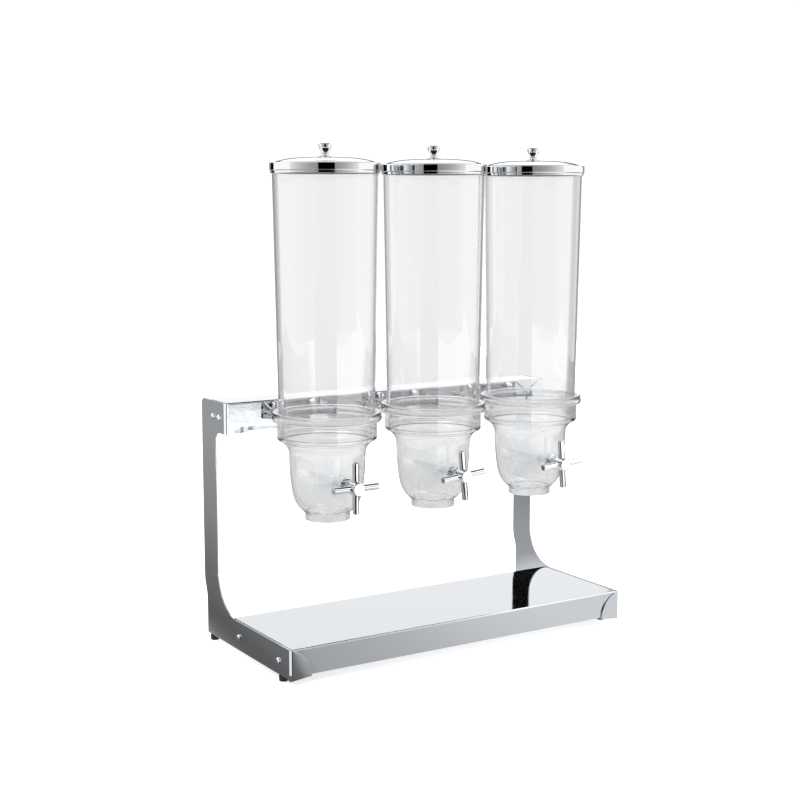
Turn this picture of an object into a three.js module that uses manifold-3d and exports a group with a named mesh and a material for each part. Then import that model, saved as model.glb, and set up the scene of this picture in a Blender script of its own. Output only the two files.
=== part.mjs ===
// Three-station cereal dispenser: clear canisters over clear bowls, hung from a folded steel stand.
// Millimetres, +Z up, front towards -Y. The origin is on the counter, at the middle of the footprint.
import * as THREE from 'three';
import { mergeVertices } from 'three/addons/utils/BufferGeometryUtils.js';
import Module from 'manifold-3d';

const wasm = await Module();
wasm.setup();

// ---------------------------------------------------------------- driving dimensions

const GAP = 0.3;        // between two separate pieces that touch
const BOLT_PLAY = 0.3;  // radial play of a bolt in its hole
const ROUND = 20;       // sides of the large round pieces, the same for pieces that nest
const SMALL_ROUND = 10; // sides of knobs, rods and bolts
const HOLE_ROUND = 8;   // sides of bolt holes

const stations = { names: ['left', 'middle', 'right'], handleTurn: [0, 5.5, 4], spacing: 23.2 };

const stand = {
  depth: 265,        // base strip of a side plate, front to back
  top: 362.5,        // top edge of the side plates
  floorGap: 8.2,     // counter to the underside of the side plates
  baseTop: 52,
  sheet: 2,
  endReach: 107.8,   // axis of an outer station to the outer face of its side plate
  postWidth: 46,
  postBack: 8.5,     // how far the post stands behind the base strip
  stepLow: 58,       // where the post's back edge starts to step back
  stepHigh: 102,
  headHeight: 45.5,  // the block at the top of the post that holds the crossbar
  headFillet: 12,
  headCorner: 9,
  archRadius: 60,    // sweep from the base strip up into the post
  lipWidth: 17,      // inward lip under the plate that carries the feet
};
const baseFlange = { reach: 33, drop: 3.5 };
const barFlange = { reach: 37, drop: 1 };

const tray = { depth: 182, lowEdge: 13.5, sheet: 1.5, topDrop: 0.5 };
const bar = { front: 62, depth: 55.7, height: 42, sheet: 1.5, topDrop: 0.5 };

const foot = {
  radius: 6.5, chamfer: 0.8, stem: 2.2, barb: 3.4, barbHeight: 2.2, sideInset: 7, frontInset: 34, rearInset: 9,
};
const plateBolt = { radius: 2.5, headRadius: 4.7, headHeight: 2.8, length: 9 };
const barBolts = { depths: [81.5, 101.5], below: 22.5 };
const trayBolts = { depths: [-97.5, 25.5], above: 29 };

const holder = {
  seatBelowTop: 10.2, // seating plane of the bowls, below the top of the stand
  width: 6.6,
  height: 9.3,
  armReach: 30.3,     // ring to the face of the crossbar
  armHalf: 49,
  armSheet: 3.5,
  plate: 3.7,
  plateTop: 8.7,
  plateLow: -16.3,
  web: 3,
  boltHalf: 30,
  boltHeight: 3.5,
  beadDepth: 3.2,     // the ring's rounded outer edge
  armStart: 50.7,     // where the arms begin in the ring, before its bore is cut
};
const holderBolt = {
  radius: 2.5, nutRadius: 6.2, nutLength: 6, length: 21, capLength: 4.5, capBase: 5, capTip: 2.2, capSunk: 1,
};

const canister = { topRadius: 73.1, bottomRadius: 66.8, height: 374, wall: 2.5 };

const bowl = {
  wall: 2.4,
  collarPlay: 0.8,      // canister foot to the inside of the collar
  flange: 6.5,
  flangeHeight: 3.4,
  seatDepth: 30.7,      // seating plane down to the ledge the canister stands on
  ledgeWidth: 4.4,
  collarBelow: 2.2,     // ledge down to the end of the collar's straight outside
  shoulderBelow: 3.6,   // ledge down to where the shoulder starts
  shoulderIn: 3,
  bodyRadius: 54.3,
  bodyTop: -51.3,
  heelRadius: 49.6,
  heelTop: -108.3,
  floorRadius: 34,
  floorHeight: -137.3,
  neckRadius: 29.2,
  neckTop: -139.4,
  neckLow: -148.6,
};
// How far each curve of the bowl's outside is pulled away from its ends: across, and down.
const bowlCurves = {
  shoulderOut: 3.7, shoulderDown: 6, bodyIn: 1.3, bodyDown: 9, heelIn: 1.6, heelDown: 18, floorShare: 0.7,
};
const spout = { wall: 2.2, foot: 0.4, topPlay: 0.6 };

const wheel = { axis: -92.9, radius: 35, width: 46, hub: 9, vane: 2.2, vanes: 6, tipPlay: 2 };
const chute = {
  wall: 2, rim: 40, rimHeight: -52.3, rimFall: 3, flange: 2, throat: 23.5, sidePlay: 2, lowAngle: 53,
  outlet: 22, outletAbove: 1, bowlPlay: 0.9,
};
const shaft = { radius: 4, play: 0.3, tail: 40 };
const bush = { radius: 8, flangeRadius: 10.5, flange: 2.5, nose: 5, noseRadius: 6.5, tail: 5 };
const handle = {
  hub: 9.6, hubLength: 18.4, hubSides: 16, standOff: 19, armRadius: 4.75, span: 71, armSet: 10, grip: 12,
};

const lid = {
  sheet: 0.9, rimPlay: 2.2, rimFold: 0.3, bandHeight: 10.5, bandFold: 0.4, beadHeight: 4, beadStep: 1.2,
  dome: 7.5, domePower: 4, domeInset: 1.1, chamfer: 1.5,
};
const gasket = { thickness: 1.4, width: 5.6, overhang: 0.4 };
const knob = {
  base: 10.2, baseTop: 1.7, neck: 4.6, neckLow: 2.2, neckHigh: 3.8, waist: 5.3, waistHeight: 5.3,
  cup: 6.3, cupHeight: 8.2, top: 9, topHeight: 12.7, height: 18.4, sides: 12,
};

// ---------------------------------------------------------------- worked-out places

const collarInner = canister.bottomRadius + bowl.collarPlay;
const collarOuter = collarInner + bowl.wall;
const holderInner = collarOuter + GAP + 0.1;
const holderOuter = holderInner + holder.width;
const pitch = 2 * holderOuter + stations.spacing;
const halfWidth = (pitch * (stations.names.length - 1)) / 2 + stand.endReach;

const plateFront = -stand.depth / 2;
const plateBack = stand.depth / 2;
const postBack = plateBack + stand.postBack;
const postFront = postBack - stand.postWidth;

const trayFront = plateFront + stand.sheet + GAP;
const trayTop = stand.baseTop - tray.topDrop;
const barFace = bar.front + stand.sheet + GAP;
const barTop = stand.top - bar.topDrop;
const innerHalf = halfWidth - stand.sheet - GAP;

const stationY = barFace - holder.armReach - holderOuter;
const seatZ = stand.top - holder.seatBelowTop;
const ledge = -bowl.seatDepth;
const canisterFoot = ledge + GAP;
const canisterTop = canisterFoot + canister.height;
const lidUnder = gasket.thickness + 2 * GAP; // above the canister's top edge
const bowlFrontAtShaft = flankRadiusAt(wheel.axis + bush.flangeRadius);
const handleBack = -(bowlFrontAtShaft + handle.standOff);
const handleFace = handleBack - handle.hubLength;
const middleY = (postBack + stationY + handleFace) / 2;

// ---------------------------------------------------------------- materials

const finishes = {
  steel: { color: 0xc9ccd0, roughness: 0.08, metalness: 1 },
  chrome: { color: 0xdfe2e6, roughness: 0.04, metalness: 1 },
  rubber: { color: 0x17181a, roughness: 0.8, metalness: 0 },
  clear: { color: 0xeef3f6, roughness: 0.03, metalness: 0 },
  frosted: { color: 0xe3e7ea, roughness: 0.35, metalness: 0 },
  silicone: { color: 0xd7dadd, roughness: 0.5, metalness: 0 },
};

function piece(name, geometry, finish) {
  const mesh = new THREE.Mesh(geometry, new THREE.MeshStandardMaterial(finishes[finish]));
  mesh.name = name;
  return mesh;
}

// ---------------------------------------------------------------- solids

// Positions only, shared corners merged, and triangles that collapsed on an axis dropped.
function toSolid(geometry) {
  const bare = geometry.clone();
  bare.deleteAttribute('normal');
  bare.deleteAttribute('uv');
  const merged = mergeVertices(bare, 1e-4);
  const source = merged.index.array;
  const kept = [];
  for (let i = 0; i < source.length; i += 3) {
    const [a, b, c] = source.slice(i, i + 3);
    if (a !== b && b !== c && c !== a) kept.push(a, b, c);
  }
  const vertProperties = Float32Array.from(merged.attributes.position.array);
  const triVerts = Uint32Array.from(kept);
  return new wasm.Manifold(new wasm.Mesh({ numProp: 3, vertProperties, triVerts }));
}

function toGeometry(solid) {
  const mesh = solid.getMesh();
  const geometry = new THREE.BufferGeometry();
  geometry.setAttribute('position', new THREE.BufferAttribute(mesh.vertProperties, 3));
  geometry.setIndex(new THREE.BufferAttribute(mesh.triVerts, 1));
  geometry.computeVertexNormals();
  return geometry;
}

function union(solids) {
  return solids.reduce((whole, next) => whole.add(next));
}

function block(x0, x1, y0, y1, z0, z1) {
  const box = new THREE.BoxGeometry(x1 - x0, y1 - y0, z1 - z0);
  return toSolid(box.translate((x0 + x1) / 2, (y0 + y1) / 2, (z0 + z1) / 2));
}

// A closed profile of [radius, height] pairs turned about the vertical axis.
function turned(profile, sides = ROUND) {
  const closed = profile[0][0] === 0 ? profile : [...profile, profile[0]];
  let area = 0;
  closed.forEach(([r, z], i) => {
    const [rNext, zNext] = closed[(i + 1) % closed.length];
    area += r * zNext - rNext * z;
  });
  const ordered = area > 0 ? closed : [...closed].reverse();
  const points = ordered.map(([r, z]) => new THREE.Vector2(r, z));
  return toSolid(new THREE.LatheGeometry(points, sides).rotateX(Math.PI / 2));
}

// A shape drawn in (y, z) and pulled along x, or drawn in (x, z) and pulled along y.
function pulledX(shape, x0, x1, curveSegments = 6) {
  const axes = new THREE.Matrix4().makeBasis(
    new THREE.Vector3(0, 1, 0), new THREE.Vector3(0, 0, 1), new THREE.Vector3(1, 0, 0),
  );
  const flat = new THREE.ExtrudeGeometry(shape, { depth: x1 - x0, bevelEnabled: false, curveSegments });
  return toSolid(flat.applyMatrix4(axes).translate(x0, 0, 0));
}

function pulledY(shape, y0, y1, curveSegments = 6) {
  const flat = new THREE.ExtrudeGeometry(shape, { depth: y1 - y0, bevelEnabled: false, curveSegments });
  return toSolid(flat.rotateX(Math.PI / 2).translate(0, y1, 0));
}

// A rod along x, y or z between two stations of that axis, centred on the other two coordinates.
function rod(axis, radius, from, to, centre = [0, 0], sides = SMALL_ROUND) {
  const cylinder = new THREE.CylinderGeometry(radius, radius, to - from, sides);
  const middle = (from + to) / 2;
  const [a, b] = centre;
  if (axis === 'x') cylinder.rotateZ(-Math.PI / 2).translate(middle, a, b);
  if (axis === 'y') cylinder.translate(a, middle, b);
  if (axis === 'z') cylinder.rotateX(Math.PI / 2).translate(a, b, middle);
  return toSolid(cylinder);
}

// A rod to cut a round hole with: the flats of its polygon stand at the given radius.
function bore(axis, radius, from, to, centre = [0, 0], sides = HOLE_ROUND) {
  return rod(axis, radius / Math.cos(Math.PI / sides), from, to, centre, sides);
}

function polygon(points) {
  return new THREE.Shape(points.map(([a, b]) => new THREE.Vector2(a, b)));
}

function curvePoints(curve, divisions) {
  return curve.getPoints(divisions).map((p) => [p.x, p.y]);
}

// An inverted tray of thin sheet: a top and four sides, open underneath.
function invertedTray(x0, x1, y0, y1, z0, z1, sheet) {
  const outside = block(x0, x1, y0, y1, z0, z1);
  return outside.subtract(block(x0 + sheet, x1 - sheet, y0 + sheet, y1 - sheet, z0 - 1, z1 - sheet));
}

// ---------------------------------------------------------------- stand

// The C-shaped web of a side plate, drawn in (y, z).
function plateOutline() {
  const low = stand.floorGap;
  const headLow = stand.top - stand.headHeight;
  const stepMiddle = (stand.stepLow + stand.stepHigh) / 2;
  const { headFillet, headCorner, archRadius } = stand;
  const shape = new THREE.Shape();
  shape.moveTo(plateFront, low);
  shape.lineTo(plateBack, low);
  shape.lineTo(plateBack, stand.stepLow);
  shape.bezierCurveTo(plateBack, stepMiddle, postBack, stepMiddle, postBack, stand.stepHigh);
  shape.lineTo(postBack, stand.top - headCorner);
  shape.absarc(postBack - headCorner, stand.top - headCorner, headCorner, 0, Math.PI / 2, false);
  shape.lineTo(bar.front, stand.top);
  shape.lineTo(bar.front, headLow);
  shape.absarc(postFront - headFillet, headLow - headFillet, headFillet, Math.PI / 2, 0, true);
  shape.absarc(postFront - archRadius, stand.baseTop + archRadius, archRadius, 0, -Math.PI / 2, true);
  shape.lineTo(plateFront, stand.baseTop);
  return shape;
}

// The front flange of a side plate, drawn in (x, z): upright at its inner end, swept to the corner.
function flangeOutline(side, reach, low, high, drop) {
  const innerLow = low + drop;
  const rise = high - innerLow;
  const radius = (reach ** 2 + rise ** 2) / (2 * reach);
  const centre = halfWidth - reach + radius;
  const sweep = Math.asin(rise / radius);
  const steps = 6;
  const points = [[side * halfWidth, low]];
  for (let i = 0; i <= steps; i += 1) {
    const angle = (sweep * i) / steps;
    points.push([side * (centre - radius * Math.cos(angle)), innerLow + radius * Math.sin(angle)]);
  }
  return polygon(points);
}

function footPlaces() {
  const ys = { front: plateFront + foot.frontInset, rear: plateBack - foot.rearInset };
  return { x: halfWidth - foot.sideInset, ys };
}

function sidePlate(side) {
  const outer = side * halfWidth;
  const inner = side * (halfWidth - stand.sheet);
  const lipEnd = side * (halfWidth - stand.sheet - stand.lipWidth);
  const [x0, x1] = [Math.min(outer, inner), Math.max(outer, inner)];
  const web = pulledX(plateOutline(), x0, x1);
  const headLow = stand.top - stand.headHeight;
  const lowFlange = flangeOutline(side, baseFlange.reach, stand.floorGap, stand.baseTop, baseFlange.drop);
  const highFlange = flangeOutline(side, barFlange.reach, headLow, stand.top, barFlange.drop);
  const lip = block(
    Math.min(outer, lipEnd), Math.max(outer, lipEnd), plateFront, plateBack,
    stand.floorGap, stand.floorGap + stand.sheet,
  );
  let plate = union([
    web,
    pulledY(lowFlange, plateFront, plateFront + stand.sheet),
    pulledY(highFlange, bar.front, bar.front + stand.sheet),
    lip,
  ]);
  const hole = plateBolt.radius + BOLT_PLAY;
  for (const [y, z] of plateBoltPlaces()) {
    plate = plate.subtract(bore('x', hole, x0 - 1, x1 + 1, [y, z]));
  }
  const feet = footPlaces();
  for (const y of Object.values(feet.ys)) {
    plate = plate.subtract(bore('z', foot.stem + BOLT_PLAY, 0, stand.floorGap * 2, [side * feet.x, y]));
  }
  return plate;
}

function plateBoltPlaces() {
  const high = barBolts.depths.map((y) => [y, stand.top - barBolts.below]);
  const low = trayBolts.depths.map((y) => [y, trayBolts.above]);
  return [...low, ...high];
}

function baseTray() {
  let body = invertedTray(
    -innerHalf, innerHalf, trayFront, trayFront + tray.depth, tray.lowEdge, trayTop, tray.sheet,
  );
  const hole = plateBolt.radius + BOLT_PLAY;
  for (const y of trayBolts.depths) {
    for (const side of [-1, 1]) {
      const end = side * (innerHalf - tray.sheet / 2);
      body = body.subtract(bore('x', hole, end - tray.sheet, end + tray.sheet, [y, trayBolts.above]));
    }
  }
  return body;
}

function crossbar() {
  let body = invertedTray(
    -innerHalf, innerHalf, barFace, barFace + bar.depth, barTop - bar.height, barTop, bar.sheet,
  );
  const hole = plateBolt.radius + BOLT_PLAY;
  for (const y of barBolts.depths) {
    for (const side of [-1, 1]) {
      const end = side * (innerHalf - bar.sheet / 2);
      const z = stand.top - barBolts.below;
      body = body.subtract(bore('x', hole, end - bar.sheet, end + bar.sheet, [y, z]));
    }
  }
  const middle = (stations.names.length - 1) / 2;
  stations.names.forEach((name, i) => {
    for (const side of [-1, 1]) {
      const x = (i - middle) * pitch + side * holder.boltHalf;
      const across = [x, seatZ + holder.boltHeight];
      const reach = [barFace - 1, barFace + bar.sheet + 1];
      body = body.subtract(bore('y', holderBolt.radius + BOLT_PLAY, ...reach, across));
    }
  });
  return body;
}

// Dome-headed bolt through a side plate: its head outside, its shank pointing inwards.
function throughBolt(side) {
  const { radius, headRadius, headHeight, length } = plateBolt;
  const dome = curvePoints(new THREE.EllipseCurve(0, GAP, headRadius, headHeight, 0, Math.PI / 2), 3);
  const shank = [[0, -length], [radius, -length], [radius, GAP]];
  const profile = [...shank, ...dome.slice(0, -1), [0, headHeight + GAP]];
  return toGeometry(turned(profile, SMALL_ROUND)).rotateY((side * Math.PI) / 2);
}

// Push-in rubber foot: pad, stem through the lip, and a barb above it.
function rubberFoot() {
  const padTop = stand.floorGap - GAP;
  const barbLow = stand.floorGap + stand.sheet + GAP;
  return toGeometry(turned([
    [0, 0], [foot.radius - foot.chamfer, 0], [foot.radius, foot.chamfer], [foot.radius, padTop],
    [foot.stem, padTop],
    [foot.stem, barbLow], [foot.barb, barbLow], [foot.stem, barbLow + foot.barbHeight],
    [0, barbLow + foot.barbHeight],
  ], SMALL_ROUND));
}

function standGroup() {
  const group = new THREE.Group();
  group.add(piece('base_tray', toGeometry(baseTray()), 'steel'));
  group.add(piece('crossbar', toGeometry(crossbar()), 'steel'));
  for (const [sideName, side] of [['left', -1], ['right', 1]]) {
    group.add(piece(`${sideName}_side_plate`, toGeometry(sidePlate(side)), 'steel'));
    plateBoltPlaces().forEach(([y, z], i) => {
      const place = i < 2 ? 'base' : 'crossbar';
      const end = i % 2 === 0 ? 'front' : 'rear';
      const bolt = piece(`${sideName}_${place}_bolt_${end}`, throughBolt(side), 'chrome');
      bolt.position.set(side * halfWidth, y, z);
      group.add(bolt);
    });
    const feet = footPlaces();
    for (const [end, y] of Object.entries(feet.ys)) {
      const pad = piece(`${sideName}_foot_${end}`, rubberFoot(), 'rubber');
      pad.position.set(side * feet.x, y, 0);
      group.add(pad);
    }
  }
  return group;
}

// ---------------------------------------------------------------- station, about its own axis
// Height zero is the seating plane: the top of the holder ring, where the bowl's flange hangs.

function holderBracket() {
  const { height, beadDepth, armStart, armHalf, armSheet, plate, plateTop, plateLow, web } = holder;
  const { boltHalf, boltHeight } = holder;
  const face = holderOuter + holder.armReach - GAP;
  const bead = curvePoints(
    new THREE.EllipseCurve(
      holderOuter - beadDepth, -height / 2, beadDepth, height / 2, -Math.PI / 2, Math.PI / 2,
    ), 4,
  );
  const ring = turned([[holderInner, -height], ...bead, [holderInner, 0]]);
  const arm = polygon([
    [armStart, -height], [face, plateLow], [face, plateTop], [face - plate, plateTop],
    [holderOuter, 0], [armStart, 0],
  ]);
  const solids = [
    ring,
    block(-armHalf, armHalf, face - plate, face, plateLow, plateTop),
    block(-armHalf, armHalf, armStart, face, -height, -height + web),
    pulledX(arm, -armHalf, -armHalf + armSheet),
    pulledX(arm, armHalf - armSheet, armHalf),
  ];
  let body = union(solids).subtract(rod('z', holderInner, 2 * plateLow, 2 * plateTop, [0, 0], ROUND));
  for (const side of [-1, 1]) {
    const across = [side * boltHalf, boltHeight];
    body = body.subtract(bore('y', holderBolt.radius + BOLT_PLAY, face - plate - 1, face + 1, across));
  }
  return body;
}

// Bolt through the bracket plate and the crossbar, with a domed nut on the bracket side.
function domedNutBolt() {
  const { radius, nutRadius, nutLength, length, capLength, capBase, capTip, capSunk } = holderBolt;
  const shank = rod('y', radius, -capSunk, length);
  const nut = rod('y', nutRadius, -nutLength, 0, [0, 0], 6);
  const cap = new THREE.CylinderGeometry(capBase, capTip, capLength + capSunk, SMALL_ROUND);
  cap.translate(0, -nutLength - (capLength - capSunk) / 2, 0);
  return toGeometry(union([shank, nut, toSolid(cap)]));
}

// The bowl's outside below the collar, as [radius, height]: shoulder, body and heel, top to bottom.
function bowlFlank(inset) {
  const { bodyRadius, bodyTop, heelRadius, heelTop, floorRadius, floorHeight } = bowl;
  const { shoulderOut, shoulderDown, bodyIn, bodyDown, heelIn, heelDown, floorShare } = bowlCurves;
  const shoulderTop = ledge - bowl.shoulderBelow;
  const at = (r, z) => new THREE.Vector2(r - inset, z);
  const raised = floorHeight + inset * floorShare;
  const shoulder = new THREE.QuadraticBezierCurve(
    at(collarOuter - bowl.shoulderIn, shoulderTop + inset),
    at(bodyRadius + shoulderOut, shoulderTop - shoulderDown + inset),
    at(bodyRadius, bodyTop),
  );
  const body = new THREE.QuadraticBezierCurve(
    at(bodyRadius, bodyTop),
    at(bodyRadius - bodyIn, (bodyTop + heelTop) / 2 - bodyDown),
    at(heelRadius, heelTop),
  );
  const heel = new THREE.QuadraticBezierCurve(
    at(heelRadius, heelTop), at(heelRadius - heelIn, heelTop - heelDown + inset), at(floorRadius, raised),
  );
  return [
    ...curvePoints(shoulder, 2), ...curvePoints(body, 2).slice(1), ...curvePoints(heel, 3).slice(1),
  ];
}

// The bowl's outside radius at a height between its shoulder and its heel.
function flankRadiusAt(height) {
  const flank = bowlFlank(0);
  const below = flank.findIndex(([, z]) => z <= height);
  const [[r0, z0], [r1, z1]] = [flank[below - 1], flank[below]];
  return r0 + ((r1 - r0) * (height - z0)) / (z1 - z0);
}

function bowlBody() {
  const { wall, flange, flangeHeight, neckRadius, neckTop, neckLow, ledgeWidth } = bowl;
  const flangeLow = GAP;
  const flangeTop = GAP + flangeHeight;
  const outside = [
    [collarOuter + flange, flangeTop], [collarOuter + flange, flangeLow], [collarOuter, flangeLow],
    [collarOuter, ledge - bowl.collarBelow], ...bowlFlank(0), [neckRadius, neckTop], [neckRadius, neckLow],
  ];
  const innerFlank = bowlFlank(wall).filter(([r, z]) => z < ledge - 1 && r < collarInner - ledgeWidth);
  const inside = [
    [collarInner, flangeTop], [collarInner, ledge], [collarInner - ledgeWidth, ledge],
    ...innerFlank, [neckRadius - wall, neckTop + wall / 2], [neckRadius - wall, neckLow],
  ];
  const shell = turned([...outside, ...inside.reverse()]);
  const reach = [-collarOuter, -bowl.heelRadius / 2];
  return shell.subtract(bore('y', bush.radius + GAP, ...reach, [0, wheel.axis], SMALL_ROUND));
}

function spoutRing() {
  const inner = bowl.neckRadius + GAP;
  const low = bowl.neckLow - spout.foot;
  const high = bowl.neckTop - spout.topPlay;
  return turned([[inner, low], [inner + spout.wall, low], [inner + spout.wall, high], [inner, high]]);
}

// The clear space around the wheel, drawn in (x, z) and grown by a margin: hopper, drum and outlet.
function chuteVoid(margin) {
  const drum = wheel.radius + wheel.tipPlay + margin;
  const high = Math.acos((chute.throat + margin) / drum);
  const low = THREE.MathUtils.degToRad(chute.lowAngle);
  const { rim, rimHeight, rimFall } = chute;
  const side = [[rim + margin, rimHeight], [rim + margin, rimHeight - rimFall]];
  const steps = 6;
  for (let i = 0; i <= steps; i += 1) {
    const angle = high + ((-low - high) * i) / steps;
    side.push([drum * Math.cos(angle), wheel.axis + drum * Math.sin(angle)]);
  }
  const outletLow = wheel.axis - wheel.radius + chute.outletAbove;
  side.push([chute.outlet + margin, outletLow]);
  const mirrored = side.map(([x, z]) => [-x, z]).reverse();
  return polygon([...side, ...mirrored]);
}

// Guide insert: a round flange that closes off the bowl, a hopper, curved walls that hug the wheel, and a
// flat plate at each end of it.
function guideChute() {
  const half = wheel.width / 2 + chute.sidePlay;
  const walled = pulledY(chuteVoid(chute.wall), -half - chute.wall, half + chute.wall);
  const hollow = pulledY(chuteVoid(0), -half, half);
  const top = block(-chute.rim, chute.rim, -half, half, chute.rimHeight - 1, chute.rimHeight + 1);
  const outletLow = wheel.axis - wheel.radius;
  const bottom = block(-chute.outlet, chute.outlet, -half, half, outletLow - 2, outletLow + 2);
  const flank = bowlFlank(bowl.wall + chute.bowlPlay);
  const inBowl = turned([[0, flank[0][1]], ...flank, [0, flank[flank.length - 1][1]]]);
  const flangeLow = chute.rimHeight - chute.flange;
  const flange = turned([
    [0, flangeLow], [collarInner, flangeLow], [collarInner, chute.rimHeight], [0, chute.rimHeight],
  ]);
  const through = half + chute.wall + 1;
  const hole = bore('y', shaft.radius + 2 * shaft.play, -through, through, [0, wheel.axis], SMALL_ROUND);
  return walled.add(flange).subtract(union([hollow, top, bottom])).intersect(inBowl).subtract(hole);
}

// Paddle wheel and everything else that turns, about the wheel's axis.
function paddleWheel() {
  const half = wheel.width / 2;
  const solids = [rod('y', wheel.hub, -half, half)];
  for (let i = 0; i < wheel.vanes; i += 1) {
    const vane = new THREE.BoxGeometry(wheel.vane, wheel.width, wheel.radius - wheel.hub / 2);
    vane.translate(0, 0, (wheel.radius + wheel.hub / 2) / 2);
    solids.push(toSolid(vane.rotateY(((i + 0.5) * 2 * Math.PI) / wheel.vanes)));
  }
  const hole = bore('y', shaft.radius + shaft.play, -half - 1, half + 1, [0, 0], SMALL_ROUND);
  return union(solids).subtract(hole);
}

function driveShaft() {
  return rod('y', shaft.radius, handleBack - handle.grip + 1, shaft.tail);
}

function crossHandle() {
  const armY = handleFace + handle.armSet;
  const arm = handle.span / 2;
  const body = union([
    rod('y', handle.hub, handleFace, handleBack, [0, 0], handle.hubSides),
    rod('z', handle.armRadius, -arm, arm, [0, armY]),
    rod('x', handle.armRadius, -arm, arm, [armY, 0]),
  ]);
  const socket = [handleBack - handle.grip, handleBack + 1];
  return body.subtract(bore('y', shaft.radius + shaft.play, ...socket, [0, 0], SMALL_ROUND));
}

// Flanged bush in the bowl's front wall, round the shaft.
function shaftBush() {
  const hole = (shaft.radius + shaft.play) / Math.cos(Math.PI / SMALL_ROUND);
  const flangeBack = bowlFrontAtShaft + GAP;
  const flangeFront = flangeBack + bush.flange;
  const inner = flangeBack - bush.tail - bowl.wall;
  const solid = turned([
    [hole, inner], [bush.radius, inner], [bush.radius, flangeBack], [bush.flangeRadius, flangeBack],
    [bush.flangeRadius, flangeFront], [bush.noseRadius, flangeFront],
    [bush.noseRadius, flangeFront + bush.nose], [hole, flangeFront + bush.nose],
  ], SMALL_ROUND);
  return toGeometry(solid).rotateX(Math.PI / 2);
}

function canisterTube() {
  const { topRadius, bottomRadius, wall } = canister;
  return turned([
    [bottomRadius, canisterFoot], [topRadius, canisterTop],
    [topRadius - wall, canisterTop], [bottomRadius - wall, canisterFoot],
  ]);
}

// Lid, gasket and knob are drawn with height zero at the canister's top edge.
function lidCap() {
  const { sheet, bandHeight, bandFold, beadHeight, beadStep, dome, domePower, chamfer } = lid;
  const shoulder = canister.topRadius - lid.domeInset;
  const band = canister.topRadius + lid.rimPlay + sheet + lid.rimFold;
  const bead = band - beadStep;
  const top = lidUnder + sheet;
  const bandLow = top - bandHeight;
  const beadLow = bandLow - beadHeight;
  const domeArc = (rise, r) => [r, rise + dome * (1 - (r / shoulder) ** domePower)];
  const radii = [1, 0.82, 0.58, 0].map((share) => share * shoulder);
  const outside = [
    [bead, beadLow], [bead, bandLow], [band, bandLow + bandFold], [band, top - chamfer],
    [band - chamfer, top], ...radii.map((r) => domeArc(top, r)),
  ];
  const inside = [
    ...radii.map((r) => domeArc(lidUnder, r)).reverse(),
    [band - sheet, lidUnder], [band - sheet, bandLow + sheet], [bead - sheet, bandLow],
    [bead - sheet, beadLow],
  ];
  return turned([...inside, ...outside]);
}

function sealRing() {
  const outer = canister.topRadius + gasket.overhang;
  const inner = outer - gasket.width;
  const top = GAP + gasket.thickness;
  return turned([[inner, GAP], [outer, GAP], [outer, top], [inner, top]]);
}

function liftKnob() {
  const low = lidUnder + lid.sheet + lid.dome + GAP;
  const profile = [
    [0, 0], [knob.base, 0], [knob.base, knob.baseTop], [knob.neck, knob.neckLow],
    [knob.neck, knob.neckHigh], [knob.waist, knob.waistHeight], [knob.cup, knob.cupHeight],
    [knob.top, knob.topHeight], [knob.top, knob.height], [0, knob.height],
  ];
  return turned(profile.map(([radius, height]) => [radius, low + height]), knob.sides);
}

function stationGroup(name, turnDegrees) {
  const group = new THREE.Group();
  group.add(piece(`${name}_holder`, toGeometry(holderBracket()), 'clear'));
  group.add(piece(`${name}_bowl`, toGeometry(bowlBody()), 'clear'));
  group.add(piece(`${name}_spout_ring`, toGeometry(spoutRing()), 'clear'));
  group.add(piece(`${name}_chute`, toGeometry(guideChute()), 'frosted'));
  group.add(piece(`${name}_canister`, toGeometry(canisterTube()), 'clear'));

  const nutBack = holderOuter + holder.armReach - GAP - holder.plate - GAP;
  for (const [end, side] of [['a', -1], ['b', 1]]) {
    const bolt = piece(`${name}_holder_bolt_${end}`, domedNutBolt(), 'chrome');
    bolt.position.set(side * holder.boltHalf, nutBack, holder.boltHeight);
    group.add(bolt);
  }
  const bearing = piece(`${name}_shaft_bush`, shaftBush(), 'chrome');
  bearing.position.set(0, 0, wheel.axis);
  group.add(bearing);

  const turning = new THREE.Group();
  turning.position.set(0, 0, wheel.axis);
  turning.rotation.y = -THREE.MathUtils.degToRad(turnDegrees);
  turning.add(piece(`${name}_paddle_wheel`, toGeometry(paddleWheel()), 'silicone'));
  turning.add(piece(`${name}_shaft`, toGeometry(driveShaft()), 'chrome'));
  turning.add(piece(`${name}_handle`, toGeometry(crossHandle()), 'chrome'));
  group.add(turning);

  const cover = new THREE.Group();
  cover.position.set(0, 0, canisterTop);
  cover.add(piece(`${name}_lid`, toGeometry(lidCap()), 'chrome'));
  cover.add(piece(`${name}_lid_gasket`, toGeometry(sealRing()), 'silicone'));
  cover.add(piece(`${name}_lid_knob`, toGeometry(liftKnob()), 'chrome'));
  group.add(cover);
  return group;
}

const dispenser = new THREE.Group();
dispenser.position.y = -middleY;
dispenser.add(standGroup());
stations.names.forEach((name, i) => {
  const station = stationGroup(name, stations.handleTurn[i]);
  station.position.set((i - (stations.names.length - 1) / 2) * pitch, stationY, seatZ);
  dispenser.add(station);
});

export default dispenser;
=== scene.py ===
"""Looks of a three-station cereal dispenser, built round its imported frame.

Lengths are millimetres in the dataclasses and metres in Blender. A station is worked out once about its own
axis, with height zero at the seating plane of its bowl, and is then placed three times.
"""

import logging
import math
from collections.abc import Callable, Sequence
from dataclasses import dataclass, field
from enum import Enum

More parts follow.
